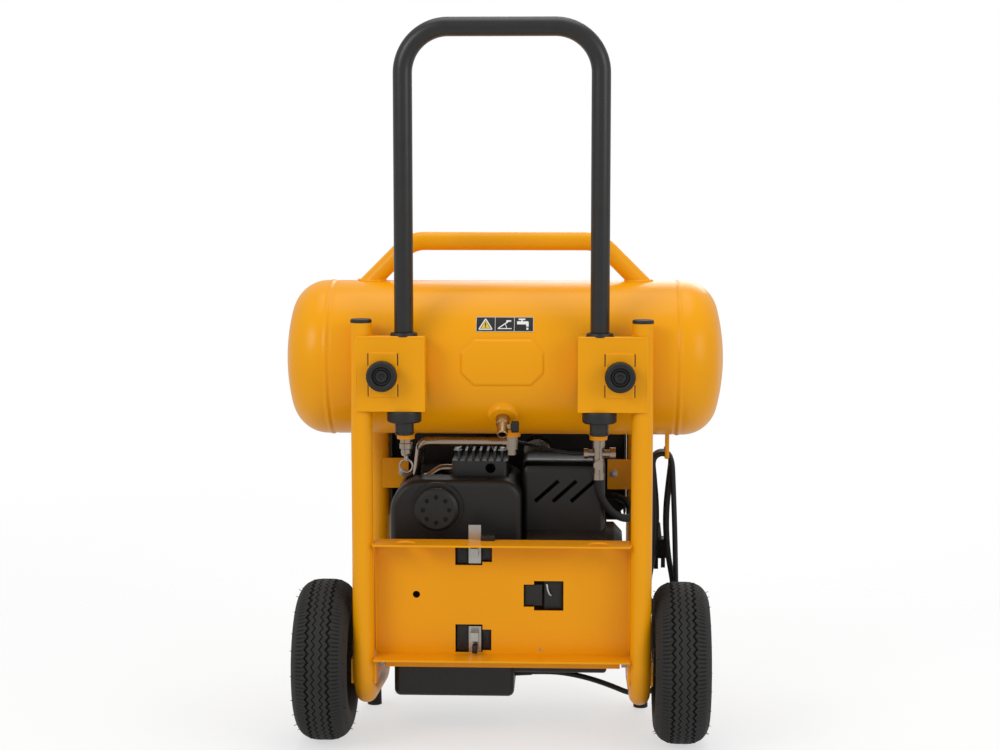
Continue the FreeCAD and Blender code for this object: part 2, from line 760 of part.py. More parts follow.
def motorShroud():
    """Slotted air guide above the motor."""
    left, right, rear, front, low, high = 24.5, 140, -8, 90, 262, 378
    outer = rounded(box(left, right, rear, front, low, high), 18,
                    lambda edge, middle: middle.z > 370 and runsAlong(edge, "X"))
    outer = rounded(outer, 8, lambda edge, middle: middle.z > 340 and not runsAlong(edge, "X"))
    inner = box(left + 3, right - 3, rear + 3, front - 3, low - 1, high - 3)
    slots = []
    for number in range(3):
        slot = doc.addObject("Part::Box", "Slot")
        bind(slot, Length=44, Width=12, Height=5.5)
        put(slot, 44 + 25 * number, rear - 4, 318, Rotation(Vector(0, 1, 0), -42))
        slots.append(slot)
    saddle = rod("X", left - 1, shaftY, shaftZ, dim("motorRadius") + 0.3, right - left + 2)
    return cut(outer, inner, saddle, *slots)


piece("motor_shroud", motorShroud())


def filterCap():
    body = turned("Y", -92, coverRear - 20, 317,
                  [(0, 0), (0, 26), (3, 30), (15, 31), (15, 36), (19.9, 36), (19.9, 29), (4, 26), (4, 0)])
    slots = [rod("Y", -92 + 18 * math.cos(math.radians(angle)), coverRear - 22,
                 317 + 18 * math.sin(math.radians(angle)), 3, 8) for angle in range(0, 360, 45)]
    return cut(body, *slots)


piece("filter_cap", filterCap())
piece("filter_element", turned("Y", -92, coverRear - 15.5, 317, [(0, 9), (0, 24), (14, 24), (14, 9)]))

# ---- air path -----------------------------------------------------------------------


def checkValve():
    x, y = 10, -20
    body = fuse(rod("Z", x, y, 396, 9, 17.4), rod("Z", x, y, 388, 6.5, 9), rod("X", x - 13, y, 406, 7.2, 13))
    return cut(body, rod("Z", x, y, 400, 4, 20))


piece("check_valve", checkValve())
piece("discharge_tube", bentTube([(-74.1, 31, 359.5), (-92, 31, 359.5), (-128, 31, 334), (-116, -20, 406),
                                  (-3.1, -20, 406)], [13, 15, 14], 12.7, 1))


def manifold():
    """Nickel cross under the tank: upper nut, side ports and a hose barb below."""
    x, y = 130, -20
    parts = [rod("Z", x, y, 399, 9, 10.4), rod("Z", x, y, 362, 7.5, 38), rod("X", x - 20, y, 390, 5.5, 44),
             rod("X", x - 20, y, 390, 7, 6), rod("X", x + 16, y, 390, 8.5, 8), rod("Y", x, y - 15, 376, 6.5, 16),
             rod("Z", x, y, 354, 8.5, 9)]
    return fuse(*parts)


piece("manifold", manifold())


def airHose():
    hose = doc.addObject("Part::Feature", "Hose")
    hose.Shape = cordTube("air_hose", [(130, -20, 353.9), (131, -20, 336), (139, -17, 319), (150, -10, 305),
                                       (163, 2, 296), (173, 18, 292), (177.5, 38, 294), (177, 60, 300),
                                       (172, 82, 306), (160, 101, 307.5), (142, 118, 309), (123, 132, 314),
                                       (105, 141, 321), (88, 143, 327), (72, 143, 327)], 11)
    return hose


piece("air_hose", airHose())


def unloaderTube():
    pipe = doc.addObject("Part::Feature", "Pipe")
    pipe.Shape = cordTube("unloader_tube", [(109.9, -20, 390), (92, -21, 390), (70, -16, 393), (46, -4, 397),
                                            (28, 16, 398), (16, 38, 397), (2, 60, 397), (-13, 82, 393),
                                            (-29, 102, 388), (-44, 117, 380), (-55, 126, 370),
                                            (-60, 130.5, 357), (-60, 130.5, 344)], 5)
    return pipe


piece("unloader_tube", unloaderTube())

# ---- console ------------------------------------------------------------------------

conFront, conHalf = dim("consoleFront"), dim("consoleHalf")
conLow, conHigh = dim("consoleBottom"), dim("consoleTop")
gaugeR, gaugeX, gaugeZ = dim("gaugeRadius"), dim("gaugeX"), dim("gaugeHeight")
conRear = 112


def frontConsole():
    outer = rounded(box(-conHalf, conHalf, conRear, conFront, conLow, conHigh), 14,
                    lambda edge, middle: runsAlong(edge, "Y"))
    outer = rounded(outer, 5, lambda edge, middle: middle.y > conFront.value - 1)
    inner = box(-conHalf + 3, conHalf - 3, conRear - 1, conFront - 3, conLow + 3, conHigh - 3)
    holes = [rod("Y", x, conFront - 4, gaugeZ, gaugeR + 0.4, 6) for x in (-gaugeX, gaugeX)]
    holes += [rod("Y", 0, conFront - 4, 327, 9, 6), rod("Y", 58, conFront - 4, 327, 9.5, 6),
              box(-70, -46, conFront - 4, conFront + 2, 316, 338)]
    return cut(outer, inner, *holes)


piece("front_console", frontConsole())


def gaugeCase(x):
    return turned("Y", x, conFront - 22, gaugeZ,
                  [(0, 0), (0, gaugeR - 2), (2, gaugeR), (22, gaugeR), (22, gaugeR + 2), (25, gaugeR + 2),
                   (26.5, gaugeR), (26.5, gaugeR - 2), (18, gaugeR - 2), (18, 0)])


piece("gauge_cases", group(gaugeCase(-gaugeX), gaugeCase(gaugeX)))
piece("gauge_lenses", group(*[rod("Y", x, conFront + 1.6, gaugeZ, gaugeR - 2.1, 1.6)
                              for x in (-gaugeX, gaugeX)]))


def needle(x):
    """Pointer at its zero stop, at the lower left of the dial for somebody in front."""
    hand = plate("XZ_Plane", 0.8, [[(-1.5, -6), (1.5, -6), (0.4, 15), (-0.4, 15)]], x=x, y=conFront + 0.2,
                 z=gaugeZ, turn=Rotation(Vector(0, 1, 0), 135))
    return fuse(hand, rod("Y", x, conFront - 3.4, gaugeZ, 2, 4.2))


piece("tank_needle", needle(-gaugeX))
piece("outlet_needle", needle(gaugeX))


def regulatorBody():
    body = fuse(rod("Y", 0, 130, 327, 19, 26), rod("Y", 0, 156, 327, 7, 14), rod("X", 10, 143, 327, 7, 39),
                box(44, 72, 130, 156, 314, 340))
    return body


piece("regulator_body", regulatorBody())
piece("regulator_knob", fluted("Y", sized(0), conFront + 2.2, sized(327),
                               [(0, 0), (0, 15), (2, 16), (13, 15), (14.8, 13), (14.8, 0)], 16.6, 18, 1.3, 20))


def couplerBody():
    return turned("Y", 58, 156.1, 327,
                  [(0, 4), (0, 9), (10, 9), (10, 7), (27, 7), (28.9, 6), (28.9, 4)])


piece("coupler_body", couplerBody())
piece("coupler_sleeve", turned("Y", 58, 172, 327,
                               [(0, 7.08), (0, 10.5), (2, 11), (8, 11), (9, 10), (10, 11), (11, 10.2), (11, 7.08)]))


def pressureSwitch():
    body = rounded(box(-76, -30, 121, 156, 304, 344), 5, lambda edge, middle: runsAlong(edge, "Y"))
    return cut(body, rod("Y", -58, 150, 327, 5.1, 7))


piece("pressure_switch", pressureSwitch())
piece("switch_lever", fuse(rod("Y", -58, 150.5, 327, 5, 22),
                           rounded(box(-62, -54, 168.5, 184, 319, 335), 2.5,
                                   lambda edge, middle: runsAlong(edge, "Y"))))


def safetyValve():
    return turned("Z", -137, -20, 386,
                  [(0, 3.1), (0, 6), (3, 7), (9, 7), (10, 9), (17, 9), (18, 8), (23.4, 8), (23.4, 3.1)])


piece("safety_valve", safetyValve())
piece("safety_ring", fuse(rod("Z", -137, -20, 379, 3, 26), ring("Y", -137, -20, 371, 9, 1.3)))

# ---- spring clips -------------------------------------------------------------------


def springClip(low, high, nose):
    """Bent strip behind a panel window, with its nose through the window."""
    face = dim("panelFace") + gauge
    leaf = box(-46, -29, face + 0.1, face + 2.1, low, high)
    return fuse(leaf, box(-43, -32, face - 14, face + 0.2, nose - 6, nose + 6))


piece("spring_clips", group(springClip(250, 303, 267), springClip(127, 163, 151)))

# ---- wheels -------------------------------------------------------------------------

wheelR, seatR, half = dim("wheelRadius"), dim("seatRadius"), dim("tyreHalf")


def tyre():
    outline = [(-15, seatR + 0.1), (-20, seatR + 0.1), (-22, seatR + 6), (-31, 66), (-half, 78), (-half, 87),
               (-34, 96), (-27, 104), (-18, 108.4), (-8, wheelR), (8, wheelR), (18, 108.4), (27, 104),
               (34, 96), (half, 87), (half, 78), (31, 66), (22, seatR + 6), (20, seatR + 0.1),
               (15, seatR + 0.1), (16, 60), (25, 69), (31, 79), (30.5, 87), (24, 97), (12, 101.5),
               (-12, 101.5), (-24, 97), (-30.5, 87), (-31, 79), (-25, 69), (-16, 60)]
    return turned("X", dim("wheelX"), axleY, axleZ, outline)


rightTyre = piece("tyre_right", tyre())
piece("tyre_left", mirrored(rightTyre))


def rim():
    bore = dim("axleDia") / 2 + 0.06
    disc = turned("X", dim("wheelX"), axleY, axleZ,
                  [(-37, bore), (-37, 18.5), (-10, 18.5), (-5, 24), (-3, 47), (-20.5, 47),
                   (-22.6, 49.5), (-23.6, 57), (-21.8, 57), (-20.3, seatR), (20.3, seatR), (21.8, 57),
                   (23.6, 57), (22.6, 49.5), (20.5, 47), (3, 47), (5, 24), (10, 18.5), (24, 18.5),
                   (24, bore)])
    windows = []
    for number in range(5):
        angle = math.radians(72 * number + 90)
        windows.append(rod("X", dim("wheelX") - 12, axleY + 35 * math.cos(angle),
                           axleZ + 35 * math.sin(angle), 8.5, 24))
    return cut(disc, *windows)


rightRim = piece("rim_right", rim())
piece("rim_left", mirrored(rightRim))

# ---- pull handle and clamp knobs ----------------------------------------------------


def pullHandle():
    x, y, low, high = dim("gripX").value, -loopY.value, dim("gripBottom").value, dim("gripTop").value
    return bentTube([(-x, y, low), (-x, y, high), (x, y, high), (x, y, low)],
                    [dim("gripBend").value] * 2, dim("gripDia").value, dim("gripWall").value)


piece("handle_tube", pullHandle())


def handlePlug(x):
    inner = dim("gripDia") / 2 - dim("gripWall") - 0.05
    return turned("Z", x, -loopY, dim("gripBottom"),
                  [(12, 0), (12, inner), (0, inner), (0, dim("gripDia") / 2), (-3, dim("gripDia") / 2),
                   (-4, dim("gripDia") / 2 - 1), (-4, 0)])


piece("handle_plugs", group(handlePlug(-dim("gripX")), handlePlug(dim("gripX"))))


def clampKnob():
    """Hand screw: a dished round head, and a stud that passes between the two tubes."""
    rimR = dim("knobDia") / 2
    face = dim("clampPlate") - 2.3
    head = turned("Y", dim("knobX"), face - 22, dim("knobHeight"),
                  [(4, 0), (4, 11), (0, 13), (0, rimR - 2), (2, rimR), (13, rimR), (15, rimR - 3), (15, 11),
                   (22, 11), (22, 0)])
    stud = rod("Y", dim("knobX"), face - 1, dim("knobHeight"), 5, 33)
    return fuse(head, stud)


rightKnob = piece("clamp_knob_right", clampKnob())
piece("clamp_knob_left", mirrored(rightKnob))

# ---- power cord ---------------------------------------------------------------------

cordDia = dim("cordDia").value
hankX, hankY, hankR = dim("hankX").value, dim("hankY").value, dim("hankRadius").value
hankHigh, hankLow = dim("hankTop").value, dim("hankBottom").value


def strainRelief():
    return taper("X", 14.1, 0, 74, 5.8, 4.6, 24)


piece("strain_relief", strainRelief())


def powerCord():
    cord = doc.addObject("Part::Feature", "Cord")
    feed = [(38.1, 0, 74), (60, 1, 74.5), (84, 4, 72), (108, 9, 66), (132, 17, 57), (154, 28, 46),
            (174, 41, 34), (193, 55, 27), (212, 67, 30), (227, 74, 42), (236, 77, 61), (241, 75, 85),
            (243.5, 68, 111), (243.8, 61, 138), (244.2, 60, 166)]
    tail = [(200, 74, 356), (200, 82, 334), (205, 90, 314), (214, 93, 294), (216, 93, 272.1)]
    cord.Shape = Part.makeCompound([cordTube("cord feed", feed, cordDia), cordTube("cord tail", tail, cordDia)])
    return cord


piece("power_cord", powerCord())


def cordHank():
    """Outer shape of three turns lying side by side."""
    def loop(radius, y0, y1):
        low, high = hankLow + hankR, hankHigh - hankR
        return fuse(rod("Y", hankX, y0, high, radius, y1 - y0), rod("Y", hankX, y0, low, radius, y1 - y0),
                    box(hankX - radius, hankX + radius, y0, y1, low, high))
    return cut(loop(hankR, hankY - 12, hankY + 12), loop(hankR - 8, hankY - 13, hankY + 13))


piece("cord_hank", cordHank())


def cordPlug():
    x, low = 216, 222
    body = rounded(box(x - 18, x + 18, 80, 106, low, low + 28), 8, lambda edge, middle: runsAlong(edge, "Y"))
    neck = taper("Z", x, 93, low + 28, 8, 5.5, 22)
    pins = [box(x + shift - 3, x + shift + 3, 91, 95, low - reach, low + 0.5)
            for shift, reach in ((-10, 16), (0, 18), (10, 16))]
    return fuse(body, neck, *pins)


piece("cord_plug", cordPlug())

# ---- check and write ----------------------------------------------------------------

doc.recompute()
faults = []
for thing in doc.Objects:
    if "Invalid" in thing.State or "Error" in thing.State:
        faults.append("%s (%s)" % (thing.Name, thing.TypeId))
for node in nodes:
    shape = node.Shape
    if shape.isNull() or not shape.isValid() or not shape.Solids:
        faults.append("%s has no valid solid" % node.Label)
if faults:
    print("faults:", "; ".join(faults))
    sys.exit(1)

os.makedirs("parts", exist_ok=True)
for node in nodes:
    node.Shape.exportStep("parts/%s.step" % node.Label)
    print("%-22s %d solids, %9.0f mm3" % (node.Label, len(node.Shape.Solids), node.Shape.Volume))
print(len(nodes), "nodes")
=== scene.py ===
import json
import math

import bmesh
import bpy
import numpy as np
from mathutils import Matrix, Vector


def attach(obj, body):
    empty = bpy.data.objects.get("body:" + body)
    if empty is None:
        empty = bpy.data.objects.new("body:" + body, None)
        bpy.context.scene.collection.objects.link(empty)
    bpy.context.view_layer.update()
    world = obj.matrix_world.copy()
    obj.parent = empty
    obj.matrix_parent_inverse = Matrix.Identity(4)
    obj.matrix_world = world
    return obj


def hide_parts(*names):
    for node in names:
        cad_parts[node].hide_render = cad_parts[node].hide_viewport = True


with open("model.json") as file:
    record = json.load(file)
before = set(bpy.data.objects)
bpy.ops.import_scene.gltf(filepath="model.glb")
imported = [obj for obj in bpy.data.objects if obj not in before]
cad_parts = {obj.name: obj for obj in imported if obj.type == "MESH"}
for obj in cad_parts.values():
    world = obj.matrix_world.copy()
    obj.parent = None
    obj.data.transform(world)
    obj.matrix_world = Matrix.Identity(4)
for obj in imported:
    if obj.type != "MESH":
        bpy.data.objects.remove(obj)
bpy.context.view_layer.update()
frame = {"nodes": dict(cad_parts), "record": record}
scene = bpy.context.scene
mm = 0.001

view = {"place": (0.099, -2.6415, 0.798), "pitch": -6.5, "yaw": 2.3, "roll": 0.0, "lens": 68.8}


def makeCamera():
    data = bpy.data.cameras.new("viewCamera")
    data.lens = view["lens"]
    data.sensor_width = 36
    data.clip_end = 400
    camera = bpy.data.objects.new("viewCamera", data)
    scene.collection.objects.link(camera)
    turn = (Matrix.Rotation(math.radians(view["yaw"]), 4, "Z")
            @ Matrix.Rotation(math.radians(90 + view["pitch"]), 4, "X")
            @ Matrix.Rotation(math.radians(view["roll"]), 4, "Z"))
    camera.matrix_world = Matrix.Translation(view["place"]) @ turn
    scene.camera = camera


makeCamera()

studio = {"floor": (0.9, 0.9, 0.9), "world": (1.0, 1.0, 1.0), "worldPower": 0.62, "backdrop": 1.0,
          "reach": 12.0, "fade": (0.45, 2.2), "presence": 0.42, "level": -0.0005, "aim": (0, 0, 0.45),
          "lamps": [("keyLamp", (-2.2, -2.4, 2.2), 1.6, 30), ("fillLamp", (2.5, -1.9, 1.5), 1.8, 20),
                    ("topLamp", (0.1, 0.2, 3.0), 2.2, 22), ("backLamp", (0.5, 2.8, 1.9), 2.0, 24)]}


def makeStudio():
    # A pale floor, an even pale sky and four broad lamps that face the object.
    world = bpy.data.worlds.new("studioSky")
    world.use_nodes = True
    sky = world.node_tree.nodes["Background"]
    sky.inputs["Color"].default_value = (*studio["world"], 1)
    sky.inputs["Strength"].default_value = studio["worldPower"]
    nodes, links = world.node_tree.nodes, world.node_tree.links
    seen = nodes.new("ShaderNodeBackground")  # what the camera sees is brighter than what lights the object
    seen.inputs["Color"].default_value = (*studio["world"], 1)
    seen.inputs["Strength"].default_value = studio["backdrop"]
    choose = nodes.new("ShaderNodeMixShader")
    links.new(nodes.new("ShaderNodeLightPath").outputs["Is Camera Ray"], choose.inputs[0])
    links.new(sky.outputs[0], choose.inputs[1])
    links.new(seen.outputs[0], choose.inputs[2])
    links.new(choose.outputs[0], nodes["World Output"].inputs["Surface"])
    scene.world = world
    for name, place, size, power in studio["lamps"]:
        data = bpy.data.lights.new(name, "AREA")
        data.shape = "DISK"
        data.size = size
        data.energy = power
        lamp = bpy.data.objects.new(name, data)
        scene.collection.objects.link(lamp)
        aim = Vector(studio["aim"]) - Vector(place)
        lamp.matrix_world = Matrix.Translation(place) @ aim.to_track_quat("-Z", "Y").to_matrix().to_4x4()
    reach = studio["reach"]
    mesh = bpy.data.meshes.new("studioFloor")
    corners = [(a * reach, b * reach, studio["level"]) for a, b in ((-1, -1), (1, -1), (1, 1), (-1, 1))]
    mesh.from_pydata(corners, [], [(0, 1, 2, 3)])
    floor = bpy.data.objects.new("studioFloor", mesh)
    scene.collection.objects.link(floor)
    scene.view_settings.view_transform = "Standard"
    return floor


studioFloor = makeStudio()
print("camera and studio made")

cord = {"diameter": 7.6, "hankX": 222.0, "hankY": 61.0, "top": 366.5, "bottom": 166.0, "topFold": 14.0,
        "bottomFold": 21.0, "turns": 4, "pitch": 7.6, "rightBow": (-1, 11, 12, 12),
        "leftBow": (3, 8, 11, 12), "lowFold": (0, 5, 11, 8), "length": 2.18, "exit": (0.0141, 0.0, 0.074),
        "feed": [(38.1, 0, 74), (60, 1, 74.5), (84, 4, 72), (108, 9, 66), (132, 17, 57), (154, 28, 46),
                 (174, 41, 34), (193, 55, 27), (212, 67, 30), (227, 74, 42), (236, 77, 61), (241, 75, 85),
                 (243.5, 68, 111), (243.8, 60, 138), (244.2, 54, 160)],
        "tail": [(200, 74, 356), (200, 82, 334), (205, 90, 314), (214, 93, 294), (216, 93, 272.1)]}


def cordRoute():
    # Feed and tail as listed; between them each turn is two bowed runs joined by half circles.
    route = list(cord["feed"])
    top, bottom, high, wide = cord["top"], cord["bottom"], cord["topFold"], cord["bottomFold"]
    share = np.array([0.14, 0.38, 0.62, 0.88])
    for turn in range(cord["turns"]):
        y = cord["hankY"] + (turn - (cord["turns"] - 1) / 2) * cord["pitch"]
        low = bottom + cord["lowFold"][turn]
        reach = wide + (high - wide) * share
        height = low + share * (top - low)
        swell = np.sin(math.pi * share)
        route += [(cord["hankX"] + r - cord["rightBow"][turn] * b, y, z) for r, b,
                  z in zip(reach, swell, height)]
        crown = np.radians([12, 51, 90, 129, 168])
        route += [(cord["hankX"] + high * math.cos(a), y, top + high * math.sin(a)) for a in crown]
        if turn < cord["turns"] - 1:
            down = zip(reach[::-1], swell[::-1], height[::-1])
            route += [(cord["hankX"] - r + cord["leftBow"][turn] * b, y, z) for r, b, z in down]
            base = np.radians([192, 231, 270, 309, 348])
            route += [(cord["hankX"] + wide * math.cos(a), y + cord["pitch"] * (a - math.pi) / math.pi,
                       low + wide * math.sin(a)) for a in base]
    return np.array(route + cord["tail"]) * mm


def makeCord():
    route = cordRoute()
    line = bpy.data.curves.new("powerCordLine", "CURVE")
    line.dimensions = "3D"
    spline = line.splines.new("NURBS")
    spline.points.add(len(route) - 1)
    spline.points.foreach_set("co", np.hstack([route, np.ones((len(route), 1))]).ravel())
    spline.points.foreach_set("radius", np.full(len(route), cord["diameter"] / 2 * mm))
    spline.order_u = 3
    spline.use_endpoint_u = True
    line.resolution_u = 6
    line.bevel_depth = 1.0  # the points' own radius is the cable's, so the curve's box stays true
    line.bevel_resolution = 5
    line.use_fill_caps = True
    piece = bpy.data.objects.new("powerCordLine", line)
    scene.collection.objects.link(piece)
    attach(piece, "chassis")
    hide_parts("power_cord", "cord_hank")
    return piece


powerCord = makeCord()
print("cord laid")


class Wire:
    # A shader socket that can be used in a Python expression.

    def __init__(self, shade, socket):
        self.shade = shade
        self.socket = socket

    def __add__(self, other):
        return self.shade.maths("ADD", self, other)

    def __sub__(self, other):
        return self.shade.maths("SUBTRACT", self, other)

    def __mul__(self, other):
        return self.shade.maths("MULTIPLY", self, other)

    def __truediv__(self, other):
        return self.shade.maths("DIVIDE", self, other)

    def __pow__(self, other):
        return self.shade.maths("POWER", self, other)

    def __radd__(self, other):
        return self.shade.maths("ADD", other, self)

    def __rsub__(self, other):
        return self.shade.maths("SUBTRACT", other, self)

    def __rmul__(self, other):
        return self.shade.maths("MULTIPLY", other, self)

    def above(self, other):
        return self.shade.maths("GREATER_THAN", self, other)

    def clamped(self):
        return self.shade.maths("MINIMUM", self.shade.maths("MAXIMUM", self, 0.0), 1.0)


class Shade:
    # A material with one Principled shader and the nodes that feed it.

    def __init__(self, name, colour, roughness, **plain):
        self.material = bpy.data.materials.new(name)
        self.material.use_nodes = True
        self.material.diffuse_color = (*colour, 1)
        self.tree = self.material.node_tree
        self.tree.nodes.clear()
        self.shader = self.tree.nodes.new("ShaderNodeBsdfPrincipled")
        output = self.tree.nodes.new("ShaderNodeOutputMaterial")
        self.tree.links.new(self.shader.outputs["BSDF"], output.inputs["Surface"])
        self.give("Base Color", (*colour, 1))
        self.give("Roughness", roughness)
        for key, value in plain.items():
            self.give(key.replace("_", " "), value)

    def feed(self, socket, value):
        if isinstance(value, Wire):
            self.tree.links.new(value.socket, socket)
        else:
            socket.default_value = value

    def give(self, name, value):
        self.feed(self.shader.inputs[name], value)

    def node(self, kind, settings=None, inputs=None, output=0):
        made = self.tree.nodes.new(kind)
        for key, value in (settings or {}).items():
            if key == "stops":
                ramp = made.color_ramp
                while len(ramp.elements) < len(value):
                    ramp.elements.new(0.5)
                for element, (place, colour) in zip(ramp.elements, value):
                    element.position = place
                    element.color = colour
            else:
                setattr(made, key, value)
        for key, value in (inputs or {}).items():
            self.feed(made.inputs[key], value)
        return Wire(self, made.outputs[output])

    def maths(self, operation, *values):
        return self.node("ShaderNodeMath", {"operation": operation}, dict(enumerate(values)))

    def place(self):
        return self.node("ShaderNodeTexCoord", output="Object")

    def noise(self, scale, detail=2.0, vector=None, roughness=0.5):
        return self.node("ShaderNodeTexNoise", None,
                         {"Vector": vector or self.place(), "Scale": scale, "Detail": detail,
                          "Roughness": roughness})

    def blend(self, factor, first, second):
        first = first if isinstance(first, Wire) else (*first, 1)
        second = second if isinstance(second, Wire) else (*second, 1)
        return self.node("ShaderNodeMix", {"data_type": "RGBA"}, {0: factor, 6: first, 7: second}, 2)

    def bump(self, height, distance, strength=1.0):
        self.give("Normal", self.node("ShaderNodeBump", None,
                                      {"Height": height, "Distance": distance, "Strength": strength}))


def scaled(colour, factor):
    return tuple(min(1.0, part * factor) for part in colour)


paint = {"yellow": (0.89, 0.365, 0.001), "black": (0.008, 0.008, 0.008)}


def powderCoat():
    # Glossy yellow powder coat: a fine orange peel, faint cloudiness and a little grime low down.
    shade = Shade("powderCoatYellow", paint["yellow"], 0.3, Coat_Weight=0.08, Coat_Roughness=0.15,
                  Specular_IOR_Level=0.18)
    cloud = shade.noise(7, 3)
    tone = shade.blend(cloud, scaled(paint["yellow"], 0.93), scaled(paint["yellow"], 1.06))
    height = shade.node("ShaderNodeSeparateXYZ", None, {0: shade.place()}, "Z")
    grime = ((0.16 - height) * 5.0).clamped() * shade.noise(38, 5) * 0.5
    shade.give("Base Color", shade.blend(grime, tone, (0.28, 0.13, 0.03)))
    shade.give("Roughness", 0.25 + shade.noise(55, 3) * 0.12 + grime * 0.3)
    peel = shade.noise(620, 2) * 0.7 + shade.noise(170, 1) * 0.3
    shade.bump(peel, 0.00012, 0.5)
    return shade.material


def satinBlack(name="satinBlackPaint", gloss=0.36):
    # Black painted steel tube with rubbed streaks.
    shade = Shade(name, paint["black"], gloss, Coat_Weight=0.1, Coat_Roughness=0.3)
    rub = shade.noise(45, 4)
    shade.give("Base Color", shade.blend(rub, (0.006, 0.006, 0.006), (0.015, 0.0145, 0.014)))
    shade.give("Roughness", gloss - 0.05 + shade.noise(90, 3) * 0.14)
    shade.bump(shade.noise(700, 2), 0.00008, 0.5)
    return shade.material


def mouldedPlastic(name, colour, roughness=0.52, grain=0.00012):
    # Injection moulded plastic with a spark-eroded grain.
    shade = Shade(name, colour, roughness)
    shade.give("Base Color", shade.blend(shade.noise(24, 3), scaled(colour, 0.8), scaled(colour, 1.3)))
    shade.give("Roughness", roughness - 0.05 + shade.noise(60, 2) * 0.12)
    pits = shade.node("ShaderNodeTexVoronoi", {"feature": "F1"}, {"Vector": shade.place(), "Scale": 900.0})
    shade.bump(pits * 0.6 + shade.noise(500, 2) * 0.4, grain, 0.6)
    return shade.material


def rubber(name, colour, roughness=0.7):
    # Vulcanised rubber with a dusty bloom.
    shade = Shade(name, colour, roughness, Specular_IOR_Level=0.35)
    bloom = shade.noise(30, 5)
    shade.give("Base Color", shade.blend(bloom, scaled(colour, 0.75), scaled(colour, 1.5)))
    shade.give("Roughness", roughness - 0.06 + bloom * 0.16)
    shade.bump(shade.noise(380, 3), 0.00015, 0.5)
    return shade.material


def plated(name, colour, roughness, cloud=0.1):
    # Plated or bare metal with cloudy reflections and fine scratches.
    shade = Shade(name, colour, roughness, Metallic=1.0)
    stain = shade.noise(70, 5)
    shade.give("Base Color", shade.blend(stain, scaled(colour, 0.8), scaled(colour, 1.12)))
    shade.give("Roughness", roughness - cloud / 2 + stain * cloud)
    stretched = shade.node("ShaderNodeMapping", None, {"Vector": shade.place(), "Scale": (1800, 300, 300)})
    shade.bump(shade.noise(1.0, 2, stretched), 0.00003, 0.4)
    return shade.material


def castAlloy():
    # Sand-cast aluminium, pitted and matt.
    shade = Shade("castAlloy", (0.42, 0.42, 0.43), 0.55, Metallic=0.85)
    pits = shade.noise(260, 5)
    shade.give("Base Color", shade.blend(pits, (0.30, 0.30, 0.31), (0.5, 0.5, 0.5)))
    shade.give("Roughness", 0.45 + pits * 0.25)
    shade.bump(pits, 0.0003, 0.7)
    return shade.material


def clearGlass():
    shade = Shade("gaugeGlass", (0.95, 0.97, 0.98), 0.03, IOR=1.46, Transmission_Weight=1.0)
    shade.give("Roughness", 0.02 + shade.noise(20, 2) * 0.03)
    return shade.material


finishes = {
    "yellow": powderCoat(),
    "black": satinBlack(),
    "plastic": mouldedPlastic("blackPlastic", (0.007, 0.0068, 0.0066), 0.48),
    "shroud": mouldedPlastic("shroudPlastic", (0.007, 0.0066, 0.0062), 0.4, 0.00018),
    "knob": mouldedPlastic("knobPlastic", (0.005, 0.0048, 0.0046), 0.44, 0.00008),
    "rubber": rubber("blackRubber", (0.009, 0.009, 0.009), 0.6),
    "tyre": rubber("tyreRubber", (0.02, 0.0195, 0.019), 0.74),
    "cable": rubber("cableRubber", (0.008, 0.008, 0.008), 0.45),
    "nickel": plated("satinNickel", (0.4, 0.34, 0.28), 0.27, 0.2),
    "brass": plated("tarnishedBrass", (0.42, 0.3, 0.16), 0.32, 0.2),
    "zinc": plated("zincPlate", (0.42, 0.41, 0.4), 0.34, 0.14),
    "clip": plated("springSteel", (0.5, 0.48, 0.44), 0.28, 0.14),
    "tube": plated("bareTube", (0.4, 0.33, 0.26), 0.25, 0.2),
    "alloy": castAlloy(),
    "glass": clearGlass(),
    "dial": mouldedPlastic("dialWhite", (0.78, 0.78, 0.75), 0.5, 0.00003),
    "red": mouldedPlastic("pointerRed", (0.5, 0.02, 0.015), 0.4, 0.00003),
    "signYellow": mouldedPlastic("signYellow", (0.72, 0.5, 0.02), 0.42, 0.00002),
    "signBlack": mouldedPlastic("signBlack", (0.008, 0.008, 0.008), 0.4, 0.00002),
    "felt": rubber("filterFelt", (0.05, 0.047, 0.04), 0.9),
}

nodeFinish = {
    "yellow": ["side_loop_right", "side_loop_left", "rear_panel", "clamp_bracket_right",
               "clamp_bracket_left", "tank_shell", "carry_handle", "base_plate"],
    # The cylinder head's black is partly its own black paint and partly painted shade for the tank's shadow
    # that falls over it.
    "black": ["handle_tube", "motor_housing", "cylinder_head"],
    "plastic": ["tube_caps", "guide_collars", "drain_knob", "filter_cap", "front_console",
                "regulator_knob", "pressure_switch", "handle_plugs", "cooling_fan", "rim_right",
                "rim_left"],
    "shroud": ["pump_shroud", "motor_shroud"],
    "knob": ["clamp_knob_right", "clamp_knob_left"],
    "rubber": ["front_feet", "rubber_mounts", "strain_relief", "cord_plug", "unloader_tube", "air_hose"],
    "cable": ["power_cord", "cord_hank"],
    "tyre": ["tyre_right", "tyre_left"],
    "nickel": ["manifold", "check_valve", "safety_valve", "coupler_body", "coupler_sleeve",
               "regulator_body", "drain_elbow", "gauge_cases"],
    "zinc": ["wheel_axles", "crankshaft", "crank_bearings", "safety_ring", "stator", "rotor"],
    "clip": ["spring_clips"],
    "tube": ["discharge_tube"],
    "alloy": ["crankcase", "cylinder", "piston_rod"],
    "glass": ["gauge_lenses"],
    "red": ["tank_needle", "outlet_needle", "switch_lever"],
    "felt": ["filter_element"],
}
for finish, names in nodeFinish.items():
    for name in names:
        data = frame["nodes"][name].data
        data.materials.clear()
        data.materials.append(finishes[finish])


